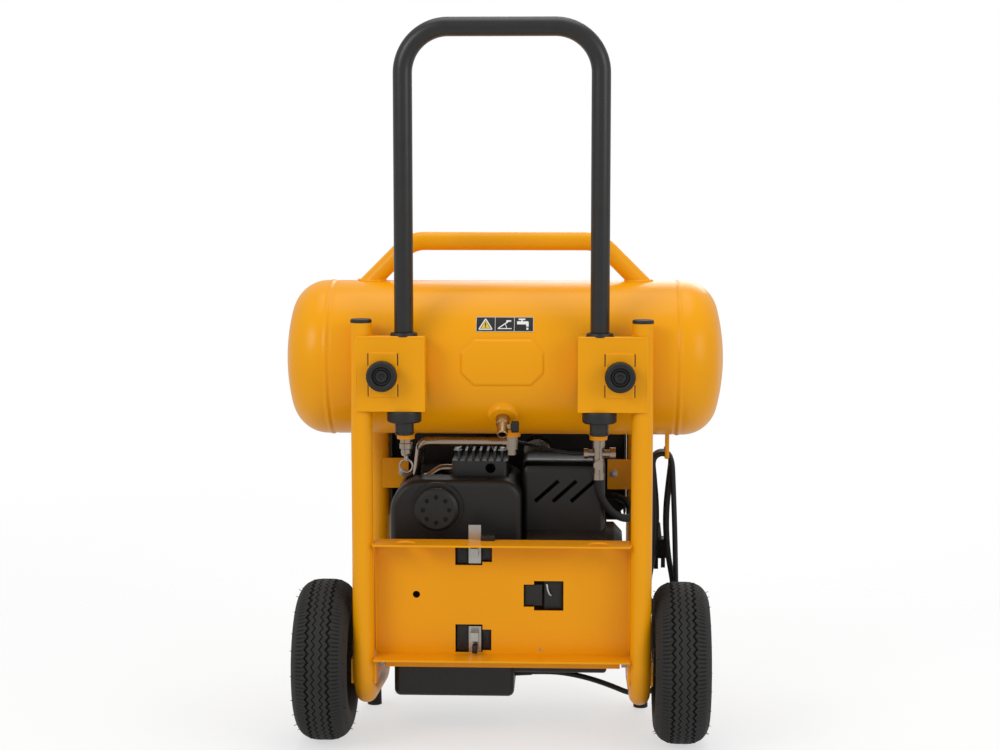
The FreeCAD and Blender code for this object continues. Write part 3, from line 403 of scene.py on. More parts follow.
def floorPaper():
    shade = Shade("floorPaper", studio["floor"], 0.8)
    shade.give("Base Color", shade.blend(shade.noise(3, 2), scaled(studio["floor"], 0.99), studio["floor"]))
    flat = shade.node("ShaderNodeVectorMath", {"operation": "MULTIPLY"}, {0: shade.place(), 1: (1, 1, 0)})
    away = shade.node("ShaderNodeVectorMath", {"operation": "LENGTH"}, {0: flat}, "Value")
    near, far = studio["fade"]
    share = ((away - near) / (far - near)).clamped()
    shade.give("Alpha", studio["presence"] - studio["presence"] * share)
    return shade.material


studioFloor.data.materials.append(floorPaper())
powerCord.data.materials.append(finishes["cable"])
bodyOf = {node: body for body, group in frame["record"]["behaviour"]["bodies"].items() for node in group}
print("finishes made")


def gridFaces(rows, columns, closeRows=False, closeColumns=False):
    # Quads between neighbouring points of a grid, wrapped round where it is closed.
    i = np.arange(rows if closeRows else rows - 1)[:, None]
    j = np.arange(columns if closeColumns else columns - 1)[None, :]
    nextRow, nextColumn = (i + 1) % rows, (j + 1) % columns
    quads = [i * columns + j, nextRow * columns + j, nextRow * columns + nextColumn,
             i * columns + nextColumn]
    return np.stack(np.broadcast_arrays(*quads), axis=-1).reshape(-1, 4)


def addPiece(name, points, faces, finish, body="chassis", stands=(), slot=None, sharp=35.0):
    mesh = bpy.data.meshes.new(name)
    mesh.from_pydata(np.asarray(points, float).reshape(-1, 3).tolist(), [],
                     faces.tolist() if isinstance(faces, np.ndarray) else faces)
    return finishPiece(name, mesh, finish, body, stands, sharp)


def finishPiece(name, mesh, finish, body, stands, sharp):
    work = bmesh.new()
    work.from_mesh(mesh)
    bmesh.ops.remove_doubles(work, verts=work.verts, dist=2e-7)
    bmesh.ops.dissolve_degenerate(work, edges=work.edges, dist=1e-8)
    bmesh.ops.recalc_face_normals(work, faces=work.faces)
    work.to_mesh(mesh)
    work.free()
    mesh.shade_smooth()
    mesh.set_sharp_from_angle(angle=math.radians(sharp))
    mesh.materials.append(finishes[finish])
    piece = bpy.data.objects.new(name, mesh)
    scene.collection.objects.link(piece)
    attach(piece, body)
    stands = [stands] if isinstance(stands, str) else list(stands)
    if stands:
        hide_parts(*stands)
    return piece


def gathered(parts):
    # Several (points, faces) surfaces as one, with the faces renumbered.
    points, faces, start = [], [], 0
    for partPoints, partFaces in parts:
        partPoints = np.asarray(partPoints, float).reshape(-1, 3)
        points.append(partPoints)
        faces += (np.asarray(partFaces) + start).tolist()
        start += len(partPoints)
    return np.concatenate(points), faces


def crossAxes(way):
    # Two unit vectors square to a direction.
    way = np.asarray(way, float) / np.linalg.norm(way)
    other = np.array([0.0, 0, 1]) if abs(way[2]) < 0.9 else np.array([1.0, 0, 0])
    first = np.cross(other, way)
    first /= np.linalg.norm(first)
    return way, first, np.cross(way, first)


def softCorners(outline, radius, closed=False):
    # Each corner of an outline becomes a short curve that starts and ends the radius away.
    outline = np.asarray(outline, float)
    count = len(outline)
    made = [] if closed else [outline[0]]
    steps = np.linspace(0, 1, 4)[:, None]
    for number in range(0 if closed else 1, count if closed else count - 1):
        before, corner, after = outline[number - 1], outline[number], outline[(number + 1) % count]
        back, ahead = before - corner, after - corner
        reachBack = min(radius, 0.45 * np.linalg.norm(back))
        reachAhead = min(radius, 0.45 * np.linalg.norm(ahead))
        start = corner + back / max(np.linalg.norm(back), 1e-9) * reachBack
        end = corner + ahead / max(np.linalg.norm(ahead), 1e-9) * reachAhead
        made += list((1 - steps) ** 2 * start + 2 * steps * (1 - steps) * corner + steps ** 2 * end)
    if not closed:
        made.append(outline[-1])
    return np.array(made)


def turnedSurface(outline, centre, way=(1, 0, 0), sides=48, soft=0.6, closed=False, ripple=None):
    # The outline's (along, radius) points in mm, carried round an axis: centre plus along times the axis
    # plus radius times the unit circle. ripple(along, radius, angle) gives a changed radius.
    outline = softCorners(outline, soft, closed) * mm
    way, first, second = crossAxes(way)
    angle = np.linspace(0, 2 * math.pi, sides, endpoint=False)
    along, radius = outline[:, :1], np.repeat(outline[:, 1:], sides, axis=1)
    if ripple:
        radius = ripple(along / mm, radius / mm, angle[None, :]) * mm
    circle = np.cos(angle)[:, None] * first + np.sin(angle)[:, None] * second
    points = np.asarray(centre, float) * mm + along[:, :, None] * way + radius[:, :, None] * circle[None]
    return points, gridFaces(len(outline), sides, closed, True)


def cornerPath(corners, radii, step=4.0):
    # Straight runs joined by tangent arcs, sampled every few mm along the arcs.
    corners = [np.asarray(corner, float) for corner in corners]
    made = [corners[0]]
    for before, corner, after, radius in zip(corners, corners[1:], corners[2:], radii):
        come = (corner - before) / np.linalg.norm(corner - before)
        go = (after - corner) / np.linalg.norm(after - corner)
        half = math.acos(np.clip(come @ go, -1, 1)) / 2
        reach = radius * math.tan(half)
        start = corner - come * reach
        middle = corner + (go - come) / np.linalg.norm(go - come) * radius / math.cos(half)
        count = max(6, int(radius * 2 * half / step))
        angle = np.linspace(0, 2 * half, count)[:, None]
        arm = start - middle
        made += list(middle + np.cos(angle) * arm + np.sin(angle) * come * radius)
    made.append(corners[-1])
    return np.array(made)


def sweptSurface(path, radius, sides=28, soft=1.0):
    # A circle of the radius carried along a path in mm; the ends close over a rounded edge.
    path = np.asarray(path, float)
    tangent = np.gradient(path, axis=0)
    tangent[0], tangent[-1] = path[1] - path[0], path[-1] - path[-2]
    tangent /= np.linalg.norm(tangent, axis=1)[:, None]
    side = crossAxes(tangent[0])[1]
    sideways = []
    for way in tangent:
        side = side - way * (side @ way)
        side = side / np.linalg.norm(side)
        sideways.append(side)
    sideways = np.array(sideways)
    upward = np.cross(tangent, sideways)
    soft = min(soft, radius * 0.4)
    edge = np.radians([90, 60, 30, 0])
    inset, depth = soft * (1 - np.cos(edge)), soft * np.sin(edge)
    rings = [(path[0], 0, 0)]
    rings += [(path[0] + tangent[0] * soft * (1 - math.sin(a)), 0,
               radius - soft * (1 - math.cos(a))) for a in edge]
    rings += [(point, number, radius) for number, point in enumerate(path[1:-1], start=1)]
    rings += [(path[-1] - tangent[-1] * soft * (1 - math.sin(a)), -1, radius - soft * (1 - math.cos(a)))
              for a in edge[::-1]]
    rings.append((path[-1], -1, 0))
    angle = np.linspace(0, 2 * math.pi, sides, endpoint=False)[:, None]
    points = [centre + size * (np.cos(angle) * sideways[k] + np.sin(angle) * upward[k])
              for centre, k, size in rings]
    return np.array(points) * mm, gridFaces(len(rings), sides, False, True)


def strapSurface(path, thickness, width, middle):
    # A flat bar: a rectangle with broken corners carried along a path that lies in a plane of constant X.
    path = np.asarray(path, float)
    tangent = np.gradient(path, axis=0)
    tangent /= np.linalg.norm(tangent, axis=1)[:, None]
    normal = np.stack([0 * tangent[:, 0], -tangent[:, 2], tangent[:, 1]], axis=1)
    half, deep, cut = width / 2, thickness / 2, min(thickness, width) * 0.18
    corners = [(half - cut, deep), (half, deep - cut), (half, cut - deep), (half - cut, -deep),
               (cut - half, -deep), (-half, cut - deep), (-half, deep - cut), (cut - half, deep)]
    rings = [path[:1] + 0 * np.zeros((8, 3))]
    for centre, out in zip(path, normal):
        rings.append(np.array([centre + (x, 0, 0) + out * d for x, d in corners]))
    rings.append(path[-1:] + 0 * np.zeros((8, 3)))
    return (np.array(rings) + (middle, 0, 0)) * mm, gridFaces(len(rings), 8, False, True)


def slab(outline, thickness, place, right, up, soft=0.5):
    # A flat plate: its closed outline in mm, lifted along the normal, with rounded upper edges.
    outline = np.asarray(outline, float)
    right, up = np.asarray(right, float), np.asarray(up, float)
    normal = np.cross(right, up)
    middle = outline.mean(axis=0)
    levels = [(0, 0), (thickness - soft, 0), (thickness - soft * 0.3, soft * 0.3), (thickness, soft)]
    size = np.abs(outline - middle).max()
    rings = [np.repeat(middle[None], len(outline), axis=0)]
    heights = [0]
    for height, inset in levels:
        rings.append(middle + (outline - middle) * (1 - inset / size))
        heights.append(height)
    rings.append(np.repeat(middle[None], len(outline), axis=0))
    heights.append(thickness)
    points = [np.asarray(place, float) + ring[:, :1] * right + ring[:, 1:] * up + height * normal
              for ring, height in zip(rings, heights)]
    return np.array(points) * mm, gridFaces(len(rings), len(outline), False, True)


def refined(node, width, sharp=32.0, name=None):
    # A merged copy of a CAD node with its edges broken by a small bevel.
    mesh = frame["nodes"][node].data.copy()
    mesh.name = name or node + "Fine"
    work = bmesh.new()
    work.from_mesh(mesh)
    bmesh.ops.remove_doubles(work, verts=work.verts, dist=2e-6)
    bmesh.ops.dissolve_limit(work, angle_limit=math.radians(0.5), verts=work.verts, edges=work.edges)
    work.to_mesh(mesh)
    work.free()
    mesh.shade_smooth()
    piece = bpy.data.objects.new(mesh.name, mesh)
    scene.collection.objects.link(piece)
    edge = piece.modifiers.new("brokenEdges", "BEVEL")
    edge.width = width * mm
    edge.segments = 2
    edge.limit_method = "ANGLE"
    edge.angle_limit = math.radians(sharp)
    edge.use_clamp_overlap = True
    facing = piece.modifiers.new("evenShading", "WEIGHTED_NORMAL")
    facing.keep_sharp = True
    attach(piece, bodyOf[node])
    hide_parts(node)
    return piece


for node, width in {"rear_panel": 0.7, "base_plate": 0.6, "clamp_bracket_right": 0.7,
                    "clamp_bracket_left": 0.7,
                    "front_console": 0.6, "crankcase": 1.0, "cylinder_head": 0.8, "motor_shroud": 0.6,
                    "pump_shroud": 0.6, "pressure_switch": 0.5, "switch_lever": 0.5, "spring_clips": 0.25,
                    "motor_housing": 0.8, "rim_right": 0.5, "rim_left": 0.5,
                    "guide_collars": 0.5, "filter_cap": 0.5, "regulator_knob": 0.4, "drain_knob": 0.3,
                    "tube_caps": 0.3, "front_feet": 0.5, "handle_plugs": 0.4, "gauge_cases": 0.3}.items():
    refined(node, width)
print("plates refined")


tank = {"radius": 106.5, "half": 301.0, "height": 522.0, "crown": 270.0, "knuckle": 48.0,
        "seam": 238.0, "seamRise": 1.3, "seamWidth": 2.6, "padHalf": (55.0, 30.5), "padCorner": 17.0,
        "padLift": 3.0, "padRise": 1.7, "padMoat": 0.8,
        "necks": ((130, -20, 409.5), (-137, -20, 409.5), (10, -20, 413.5)),
        "neck": [(0, 0), (0, 12.5), (14, 12.5), (14, 0)],
        "collar": [(6, 8), (7.5, 15.2), (8.5, 15.2), (11, 8)],
        "drainLean": 42.0, "drainAt": 100.5,
        "drainBoss": [(0, 0), (0, 24), (4, 23.5), (6.5, 20), (10.5, 18.6), (10.5, 0)],
        "hook": [(0, 44.5, 432), (0, 44.5, 374), (0, 77.5, 374), (0, 77.5, 386)], "hookX": 228}


def tankProfile(count):
    # Radius against distance along the axis: barrel, knuckle arc and crown arc, evenly spaced by length.
    radius, half, crown, knuckle = (tank[key] for key in ("radius", "half", "crown", "knuckle"))
    crownAt = half - crown
    inner = radius - knuckle
    knuckleAt = crownAt + math.sqrt((crown - knuckle) ** 2 - inner ** 2)
    join = math.atan2(inner, knuckleAt - crownAt)
    barrel = np.stack([np.linspace(0, knuckleAt, 300), np.full(300, radius)], axis=1)
    turn = np.linspace(math.pi / 2, join, 40)[:, None]
    corner = np.hstack([knuckleAt + knuckle * np.cos(turn), inner + knuckle * np.sin(turn)])
    turn = np.linspace(join, 0, 50)[:, None]
    dome = np.hstack([crownAt + crown * np.cos(turn), crown * np.sin(turn)])
    line = np.concatenate([barrel, corner[1:], dome[1:]])
    length = np.concatenate([[0], np.cumsum(np.linalg.norm(np.diff(line, axis=0), axis=1))])
    even = np.linspace(0, length[-1], count)
    half = np.stack([np.interp(even, length, line[:, 0]), np.interp(even, length, line[:, 1])], axis=1)
    mirror = half[:0:-1] * (-1, 1)
    return np.concatenate([mirror, half])


def ease(value):
    # 0 below 0, 1 above 1 and a smooth step between.
    value = np.clip(value, 0, 1)
    return value * value * (3 - 2 * value)


def makeTank():
    # A turned shell; the weld beads and the eight-sided pad are added to its radius.
    profile = tankProfile(330)
    sides = 360
    angle = np.linspace(0, 2 * math.pi, sides, endpoint=False)[None, :]
    along, radius = profile[:, :1], profile[:, 1:] + 0 * angle
    bead = np.exp(-((np.abs(along) - tank["seam"]) / tank["seamWidth"]) ** 2)
    wobble = 0.75 + 0.25 * np.cos(angle * 110 + along)
    radius = radius + tank["seamRise"] * bead * wobble
    valley = np.exp(-((np.abs(along) - tank["seam"] + 4.5) / 2.2) ** 2)
    radius = radius - 0.5 * valley
    up = radius * np.sin(angle)
    rear = (np.cos(angle) < 0) * 1.0
    across, tall = np.abs(along), np.abs(up - tank["padLift"])
    inside = np.minimum(np.minimum(tank["padHalf"][0] - across, tank["padHalf"][1] - tall),
                        (sum(tank["padHalf"]) - tank["padCorner"] - across - tall) * 0.707)
    moat = np.exp(-((inside + 1.6) / 1.5) ** 2)
    radius = radius + (tank["padRise"] * ease(inside / 1.8 + 0.3) - tank["padMoat"] * moat) * rear
    points = np.stack([along + 0 * radius, radius * np.cos(angle),
                       tank["height"] + radius * np.sin(angle)], axis=2)
    parts = [(points * mm, gridFaces(len(profile), sides, False, True))]
    for neck in tank["necks"]:
        parts.append(turnedSurface(tank["neck"], neck, (0, 0, 1), 40, 1.2))
        parts.append(turnedSurface(tank["collar"], neck, (0, 0, 1), 40, 1.0))
    lean = math.radians(tank["drainLean"])
    way = np.array([0, -math.cos(lean), -math.sin(lean)])
    start = np.array([0, 0, tank["height"]]) + way * tank["drainAt"]
    parts.append(turnedSurface(tank["drainBoss"], start, way, 48, 1.6))
    parts.append(strapSurface(cornerPath(tank["hook"], [4, 4], 1), 3.0, 6.0, tank["hookX"]))
    return addPiece("tankShell", *gathered(parts), "yellow", stands="tank_shell", sharp=50)


makeTank()
print("tank made")


tyre = {"centre": (243.5, -75.0, 110.0), "radius": 110.0, "half": 37.0, "periods": 60, "columns": 8,
        "grooves": (-14.0, -5.2, 5.2, 14.0), "grooveHalf": (1.9, 1.1), "grooveDepth": (4.2, 2.4),
        "grooveFloor": 0.62, "zigzag": 2.2, "sipeDepth": 1.8, "sipeInset": 0.3, "whiskers": 40,
        "side": [(20, 52.1), (22.5, 58), (31, 66), (36.4, 75), (37, 83), (35.8, 92),
                 (31.5, 99.5), (27.5, 103.6)],
        "crown": [(0, 110), (8, 109.9), (18, 108.3), (27, 104.0), (31, 100)],
        "inside": [(0, 102), (12, 101.5), (24, 97), (30.5, 87), (31, 79), (25, 69), (16, 60), (15, 52.1)],
        "sideRings": (72, 89), "ringWidth": 1.1, "ringHeight": 0.7,
        "shoulderRows": (26.0, 24.2, 22.4, 20.6), "treadEdge": 20.0}


def throughPoints(points, steps):
    # A smooth line through the points: each span is the Catmull-Rom cubic of its four neighbours.
    points = np.asarray(points, float)
    padded = np.concatenate([points[:1] * 2 - points[1:2], points, points[-1:] * 2 - points[-2:-1]])
    t = np.linspace(0, 1, steps, endpoint=False)[:, None]
    spans = []
    for a, b, c, d in zip(padded, padded[1:], padded[2:], padded[3:]):
        spans.append(0.5 * (2 * b + (c - a) * t + (2 * a - 5 * b + 4 * c - d) * t ** 2
                            + (3 * b - a - 3 * c + d) * t ** 3))
    return np.concatenate(spans + [points[-1:]])


def tyreSection():
    # Closed section as (across, radius, drop, zigzag share, shoulder share) rows, bead to bead and back
    # inside.
    side = throughPoints(tyre["side"], 5)
    for ring in tyre["sideRings"]:
        side[:, 0] += tyre["ringHeight"] * np.exp(-((side[:, 1] - ring) / tyre["ringWidth"]) ** 2)
    side[:, 0] = np.minimum(side[:, 0], tyre["half"])
    crown = throughPoints(tyre["crown"], 12)
    rows = [(x, 0.0, 0.0) for x in tyre["shoulderRows"]]
    for centre, wide, deep in zip(tyre["grooves"][:1:-1], tyre["grooveHalf"], tyre["grooveDepth"]):
        floor = wide * tyre["grooveFloor"]
        rows += [(centre + wide, 0.0, 1.0), (centre + floor, deep, 1.0), (centre - floor, deep, 1.0),
                 (centre - wide, 0.0, 1.0), (centre - wide - 1.6, 0.0, 1.0)]
    rows.append((2.4, 0.0, 0.5))
    rows.append((0.0, 0.0, 0.0))
    rows = np.array(rows)
    outer = rows[:, 0] > tyre["treadEdge"]
    share = np.where(outer, 0, rows[:, 2])
    tread = np.stack([rows[:, 0], np.interp(rows[:, 0], crown[:, 0], crown[:, 1]), rows[:, 1], share,
                      outer * 1.0], axis=1)
    shoulder = np.hstack([side, np.zeros((len(side), 3))])
    shoulder[-3:, 4] = (0.3, 0.7, 1.0)
    right = np.concatenate([shoulder, tread])
    left = right[-2::-1] * (-1, 1, 1, 1, 1)
    inside = np.array(tyre["inside"], float)
    inner = throughPoints(np.concatenate([inside[:0:-1] * (-1, 1), inside]), 3)
    return np.concatenate([right, left, np.hstack([inner, np.zeros((len(inner), 3))])])


def makeTyre(side):
    # The section turned about the axle; groove rows swing with a triangle wave and the shoulders are
    # sliced.
    rows = tyreSection()
    count = tyre["periods"] * tyre["columns"]
    column = np.arange(count)[None, :]
    wave = np.abs((column / tyre["columns"]) % 1 - 0.5) * 4 - 1
    sign = np.sign(rows[:, :1])
    across = rows[:, :1] + rows[:, 3:4] * tyre["zigzag"] * wave
    slit = (column % (tyre["columns"] // 2) == 1) * 1.0
    radius = rows[:, 1:2] - rows[:, 2:3] - rows[:, 4:5] * slit * tyre["sipeDepth"] + 0 * across
    across = across - sign * rows[:, 4:5] * slit * tyre["sipeInset"]
    angle = 2 * math.pi * column / count
    x, y, z = tyre["centre"]
    points = np.stack([side * x + across, y + radius * np.cos(angle), z + radius * np.sin(angle)], axis=2)
    word = "right" if side > 0 else "left"
    return addPiece("tyreTread_" + word, points * mm, gridFaces(len(rows), count, True, True), "tyre",
                    "wheel_" + word, "tyre_" + word, sharp=28)


def makeWhiskers(side):
    # Moulding hairs on both shoulders: thin cones that lean outwards, at uneven places.
    dice = np.random.default_rng(11 if side > 0 else 12)
    x, y, z = tyre["centre"]
    parts = []
    for number in range(tyre["whiskers"]):
        turn = 2 * math.pi * (number + dice.uniform(-0.3, 0.3)) / tyre["whiskers"]
        edge = 1 if number % 2 else -1
        out = np.array([0, math.cos(turn), math.sin(turn)])
        root = np.array([side * x, y, z]) + (edge * 33.5, 0, 0) + out * 95.5
        way = np.array([edge * 0.9, 0, 0]) + out * 0.45
        parts.append(turnedSurface([(-1, 0), (-1, 0.55), (dice.uniform(2.2, 4.6), 0.4), (4.9, 0)], root,
                                   way, 6, 0.05))
    word = "right" if side > 0 else "left"
    addPiece("tyreWhiskers_" + word, *gathered(parts), "tyre", "wheel_" + word, slot="tyre")


def makeValve(side):
    # Rubber valve stem with a cap on the outer face of the rim.
    x, y, z = tyre["centre"]
    word = "right" if side > 0 else "left"
    root = (side * (x + 2.6), y, z + 41)
    stem = turnedSurface([(0, 0), (0, 4.6), (3, 4.2), (9, 3.1), (10, 3.1), (10, 3.6), (17, 3.4),
                          (18, 2.6), (18, 0)],
                         root, (side, 0, 0.25), 24, 0.5)
    addPiece("valveStem_" + word, *stem, "rubber", "wheel_" + word, slot="rubber")


for side in (1, -1):
    makeTyre(side)
    makeWhiskers(side)
    makeValve(side)
print("wheels made")

handle = {"half": 130.0, "y": -121.5, "low": 434.0, "high": 967.3, "bend": 60.0, "radius": 12.7}
knob = {"x": 156.5, "face": -163.3, "z": 512.0, "radius": 20.5, "flutes": 40, "fluteDepth": 0.7}


def makeHandle():
    half, y, low, high = (handle[key] for key in ("half", "y", "low", "high"))
    path = cornerPath([(-half, y, low), (-half, y, high), (half, y, high), (half, y, low)],
                      [handle["bend"]] * 2, 2.5)
    return addPiece("handleTube", *sweptSurface(path, handle["radius"], 48, 0.6), "black", "handle",
                    "handle_tube")


def makeKnob(side):
    # A turned head with a dished face; the rim's radius ripples with a sharpened cosine for the grip.
    outline = [(4.6, 0), (4.6, 2.9), (2.6, 3.6), (2.2, 7.4), (3.2, 8.2), (5.2, 8.8), (5.2, 11.2),
               (1.2, 12.4), (0, 13.6),
               (0, 18.2), (2, 20.5), (13, 20.5), (15, 17.5), (15, 11.5), (21.9, 11), (21.9, 0)]

    def flutes(along, radius, angle):
        edge = np.clip((radius - 17.8) / 2.2, 0, 1)
        return radius - knob["fluteDepth"] * edge * (0.5 + 0.5 * np.cos(knob["flutes"] * angle)) ** 3
    centre = (side * knob["x"], knob["face"], knob["z"])
    head = turnedSurface(outline, centre, (0, 1, 0), 320, 0.7, ripple=flutes)
    thread = [(21.0, 0), (21.0, 4.4)]
    for turn in range(20):
        start = 22 + turn * 1.6
        thread += [(start, 4.4), (start + 0.8, 5.0)]
    thread += [(54, 4.2), (54, 0)]
    stud = turnedSurface(thread, centre, (0, 1, 0), 32, 0.1)
    word = "right" if side > 0 else "left"
    addPiece("clampKnob_" + word, *head, "knob", "knob_" + word, "clamp_knob_" + word)
    addPiece("clampStud_" + word, *stud, "zinc", "knob_" + word, slot="steel")


makeHandle()
for side in (1, -1):
    makeKnob(side)
print("handle and knobs made")


def roundedPath(points):
    # Each corner becomes an arc as large as its two runs allow.
    points = [np.asarray(point, float) for point in points]
    radii = []
    for before, corner, after in zip(points, points[1:], points[2:]):
        come, go = corner - before, after - corner
        turn = math.acos(np.clip(come @ go / np.linalg.norm(come) / np.linalg.norm(go), -1, 1))
        radii.append(0.45 * min(np.linalg.norm(come), np.linalg.norm(go)) / math.tan(turn / 2))
    return cornerPath(points, radii, 2.5)


pipes = {
    "dischargeTube": {
        "points": [(-74.1, 31, 359.5), (-92, 31, 359.5), (-128, 31, 334), (-116, -20, 406),
                   (-3.1, -20, 406)],
        "bends": (13, 15, 14), "radius": 6.35, "finish": "tube", "node": "discharge_tube"},
    "airHose": {
        "points": [(130, -20, 353.9), (131, -20, 336), (139, -17, 319), (150, -10, 305), (163, 2, 296),
                   (173, 18, 292), (177.5, 38, 294), (177, 60, 300), (172, 82, 306), (160, 101, 307.5),
                   (142, 118, 309), (123, 132, 314), (105, 141, 321), (88, 143, 327), (72, 143, 327)],
        "bends": None, "radius": 5.5, "finish": "rubber", "node": "air_hose"},
    "unloaderTube": {
        "points": [(109.9, -20, 390), (92, -21, 390), (70, -16, 393), (46, -4, 397), (28, 16, 398),
                   (16, 38, 397), (2, 60, 397), (-13, 82, 393), (-29, 102, 388), (-44, 117, 380),
                   (-55, 126, 370), (-60, 130.5, 357), (-60, 130.5, 344)],
        "bends": None, "radius": 2.5, "finish": "rubber", "node": "unloader_tube"},
}
for name, pipe in pipes.items():
    path = cornerPath(pipe["points"], pipe["bends"], 1.5) if pipe["bends"] else roundedPath(pipe["points"])
    addPiece(name, *sweptSurface(path, pipe["radius"], 28, 0.4), pipe["finish"], stands=pipe["node"])

drain = {"pipeAt": 111.1, "stemAt": 126.5, "stem": [(5, 0), (5, 4.5), (11.4, 4.5), (11.4, 0)],
         "pipe": [(1, 0), (0, 9.3), (11, 9.3), (12, 7.4), (29, 7.4), (30, 6.6), (30, 5.4), (28, 5.2),
                  (8, 5.2), (8, 0)]}


def makeDrain():
    # Bare nipple with a turned collar and a bored end, leaning down from the tank.
    lean = math.radians(tank["drainLean"])
    way = np.array([0, -math.cos(lean), -math.sin(lean)])
    middle = np.array([0, 0, tank["height"]])
    pipe = turnedSurface(drain["pipe"], middle + way * drain["pipeAt"], way, 48, 0.5)
    side = turnedSurface(drain["stem"], middle + way * drain["stemAt"], (1, 0, 0), 24, 0.5)
    addPiece("drainNipple", *gathered([pipe, side]), "brass", stands="drain_elbow")


makeDrain()
print("pipes made")

plateSign = {
    "middle": 3.0, "width": 77.0, "height": 22.0, "lean": 30.3, "lift": 0.35, "raise": 0.12, "deep": 0.3,
    "triangle": [(-34.5, -7.5), (-17.0, -7.5), (-25.75, 7.8)],
    "filling": ((-32.0, -25.75), (-19.5, -25.75), -6.2, 5.0),
    "level": [((-9, -6.5), (9.5, -6.5), 1.3), ((-9, -6.5), (5.5, 4.5), 1.5), ((2.0, 4.6), (8.5, 4.8), 2.2)],
    "arc": ((-9, -6.5), 11.5, 37),
    "tap": [((16.5, 2.0), (31.5, 2.0), 4.6, 6), ((23.0, 2.0), (23.0, 7.0), 2.0, 6),
            ((18.5, 7.4), (27.5, 7.4), 2.2, 6), ((30.4, 3.0), (30.4, -3.4), 3.4, 6),
            ((30.4, -5.0), (30.4, -8.2), 2.6, 3)],
    "care": [((-25.75, 2.0), (-25.75, -2.6), 4), ((-25.75, -3.6), (-25.75, -5.1), 3)]}


def onTank(across, up, lift):
    # A point given by its distance across and up from the plate's middle, laid on the tank's barrel.
    turn = math.radians(plateSign["lean"]) + np.asarray(up, float) / tank["radius"]
    reach = tank["radius"] + lift
    across = np.asarray(across, float) + plateSign["middle"]
    return np.stack([across + 0 * turn, -reach * np.cos(turn), tank["height"] + reach * np.sin(turn)],
                    axis=-1) * mm


def signStrip(top, under):
    # The upper and the under side of a strip, joined all round.
    rows = len(top)
    points = np.concatenate([top, under[:, ::-1]], axis=1)
    last = rows * 4 - 1
    ends = [[0, 1, 2, 3], [last, last - 1, last - 2, last - 3]]
    return points, gridFaces(rows, 4, False, True).tolist() + ends


def signPatch(left, right, low, high, lift, rows=8):
    # A patch between two slanted sides; left and right give each side's place at the bottom and the top.
    share = np.linspace(0, 1, rows)[:, None]
    sides = [edge[0] + (edge[1] - edge[0]) * share for edge in (left, right)]
    across = np.concatenate(sides, axis=1)
    up = low + (high - low) * share + 0 * across
    return signStrip(onTank(across, up, lift), onTank(across, up, lift - plateSign["deep"]))


def signLine(start, end, width, lift, steps=6):
    # A stroke of even width from start to end.
    start, end = np.asarray(start, float), np.asarray(end, float)
    way = (end - start) / np.linalg.norm(end - start)
    out = np.array([-way[1], way[0]]) * width / 2
    line = start + np.linspace(0, 1, steps)[:, None] * (end - start)
    top, under = [np.stack([onTank(*(line + out).T, level), onTank(*(line - out).T, level)], axis=1)
                  for level in (lift, lift - plateSign["deep"])]
    return signStrip(top, under)


def makeSign():
    # Three plain pictograms: take care, keep level, drain the tank.
    wide, tall, lift = plateSign["width"] / 2, plateSign["height"] / 2, plateSign["lift"]
    addPiece("signPlate", *signPatch((-wide, -wide), (wide, wide), -tall, tall, lift, 14), "signBlack",
             slot="black_plastic")
    raised = lift + plateSign["raise"]
    marks = [signLine((-wide, y), (wide, y), 0.5, raised) for y in (tall - 0.5, 0.5 - tall)]
    marks += [signLine((x, -tall + 0.5), (x, tall - 0.5), 0.5, raised)
              for x in (-wide + 0.3, -wide / 3, wide / 3, wide - 0.3)]
    corner = plateSign["triangle"]
    marks += [signLine(corner[k], corner[(k + 1) % 3], 1.5, raised) for k in range(3)]
    marks += [signLine(start, end, width, raised) for start, end, width in plateSign["level"]]
    (x, y), reach, sweep = plateSign["arc"]
    turn = np.radians(np.linspace(0, sweep, 6))
    arc = np.stack([x + reach * np.cos(turn), y + reach * np.sin(turn)], axis=1)
    marks += [signLine(a, b, 0.9, raised, 3) for a, b in zip(arc, arc[1:])]
    marks += [signLine(start, end, width, raised, steps) for start, end, width, steps in plateSign["tap"]]
    addPiece("signMarks", *gathered(marks), "dial", slot="gauge_black")
    addPiece("signTriangle", *signPatch(*plateSign["filling"], raised + 0.02, 10), "signYellow",
             slot="yellow_paint")
    mark = [signLine(start, end, 1.5, raised + 0.14, steps) for start, end, steps in plateSign["care"]]
    addPiece("signCare", *gathered(mark), "signBlack", slot="black_plastic")


makeSign()
print("plate made")


def bead(points, radius=1.9):
    # A weld: a thin round bead carried along a line.
    return sweptSurface(points, radius, 12, radius * 0.5)


weld = {"footRoot": (201.0, 0, 612.0), "footRadius": 12.7, "foot": 2.4,
        "panelSide": [(172.8, -98.5, 130), (172.8, -98.5, 276), 20, 1.5],
        "panelEnds": [[(172.8, -134, z), (172.8, -112, z), 8, 1.5] for z in (123.4, 282.6)],
        "bracketEnds": [[(173.2, -134.4, z), (173.2, -112, z), 8, 1.6] for z in (463.0, 562.0)],
        "bracketSide": [(192.8, -135.4, 468), (192.8, -135.4, 557), 16, 1.4]}
bolts = {"tab": (154, 107.4, 341), "headX": (-66, -4), "headY": (-2, 62), "headZ": 391, "consoleX": 161,
         "consoleY": 168.0, "consoleZ": (284, 412)}


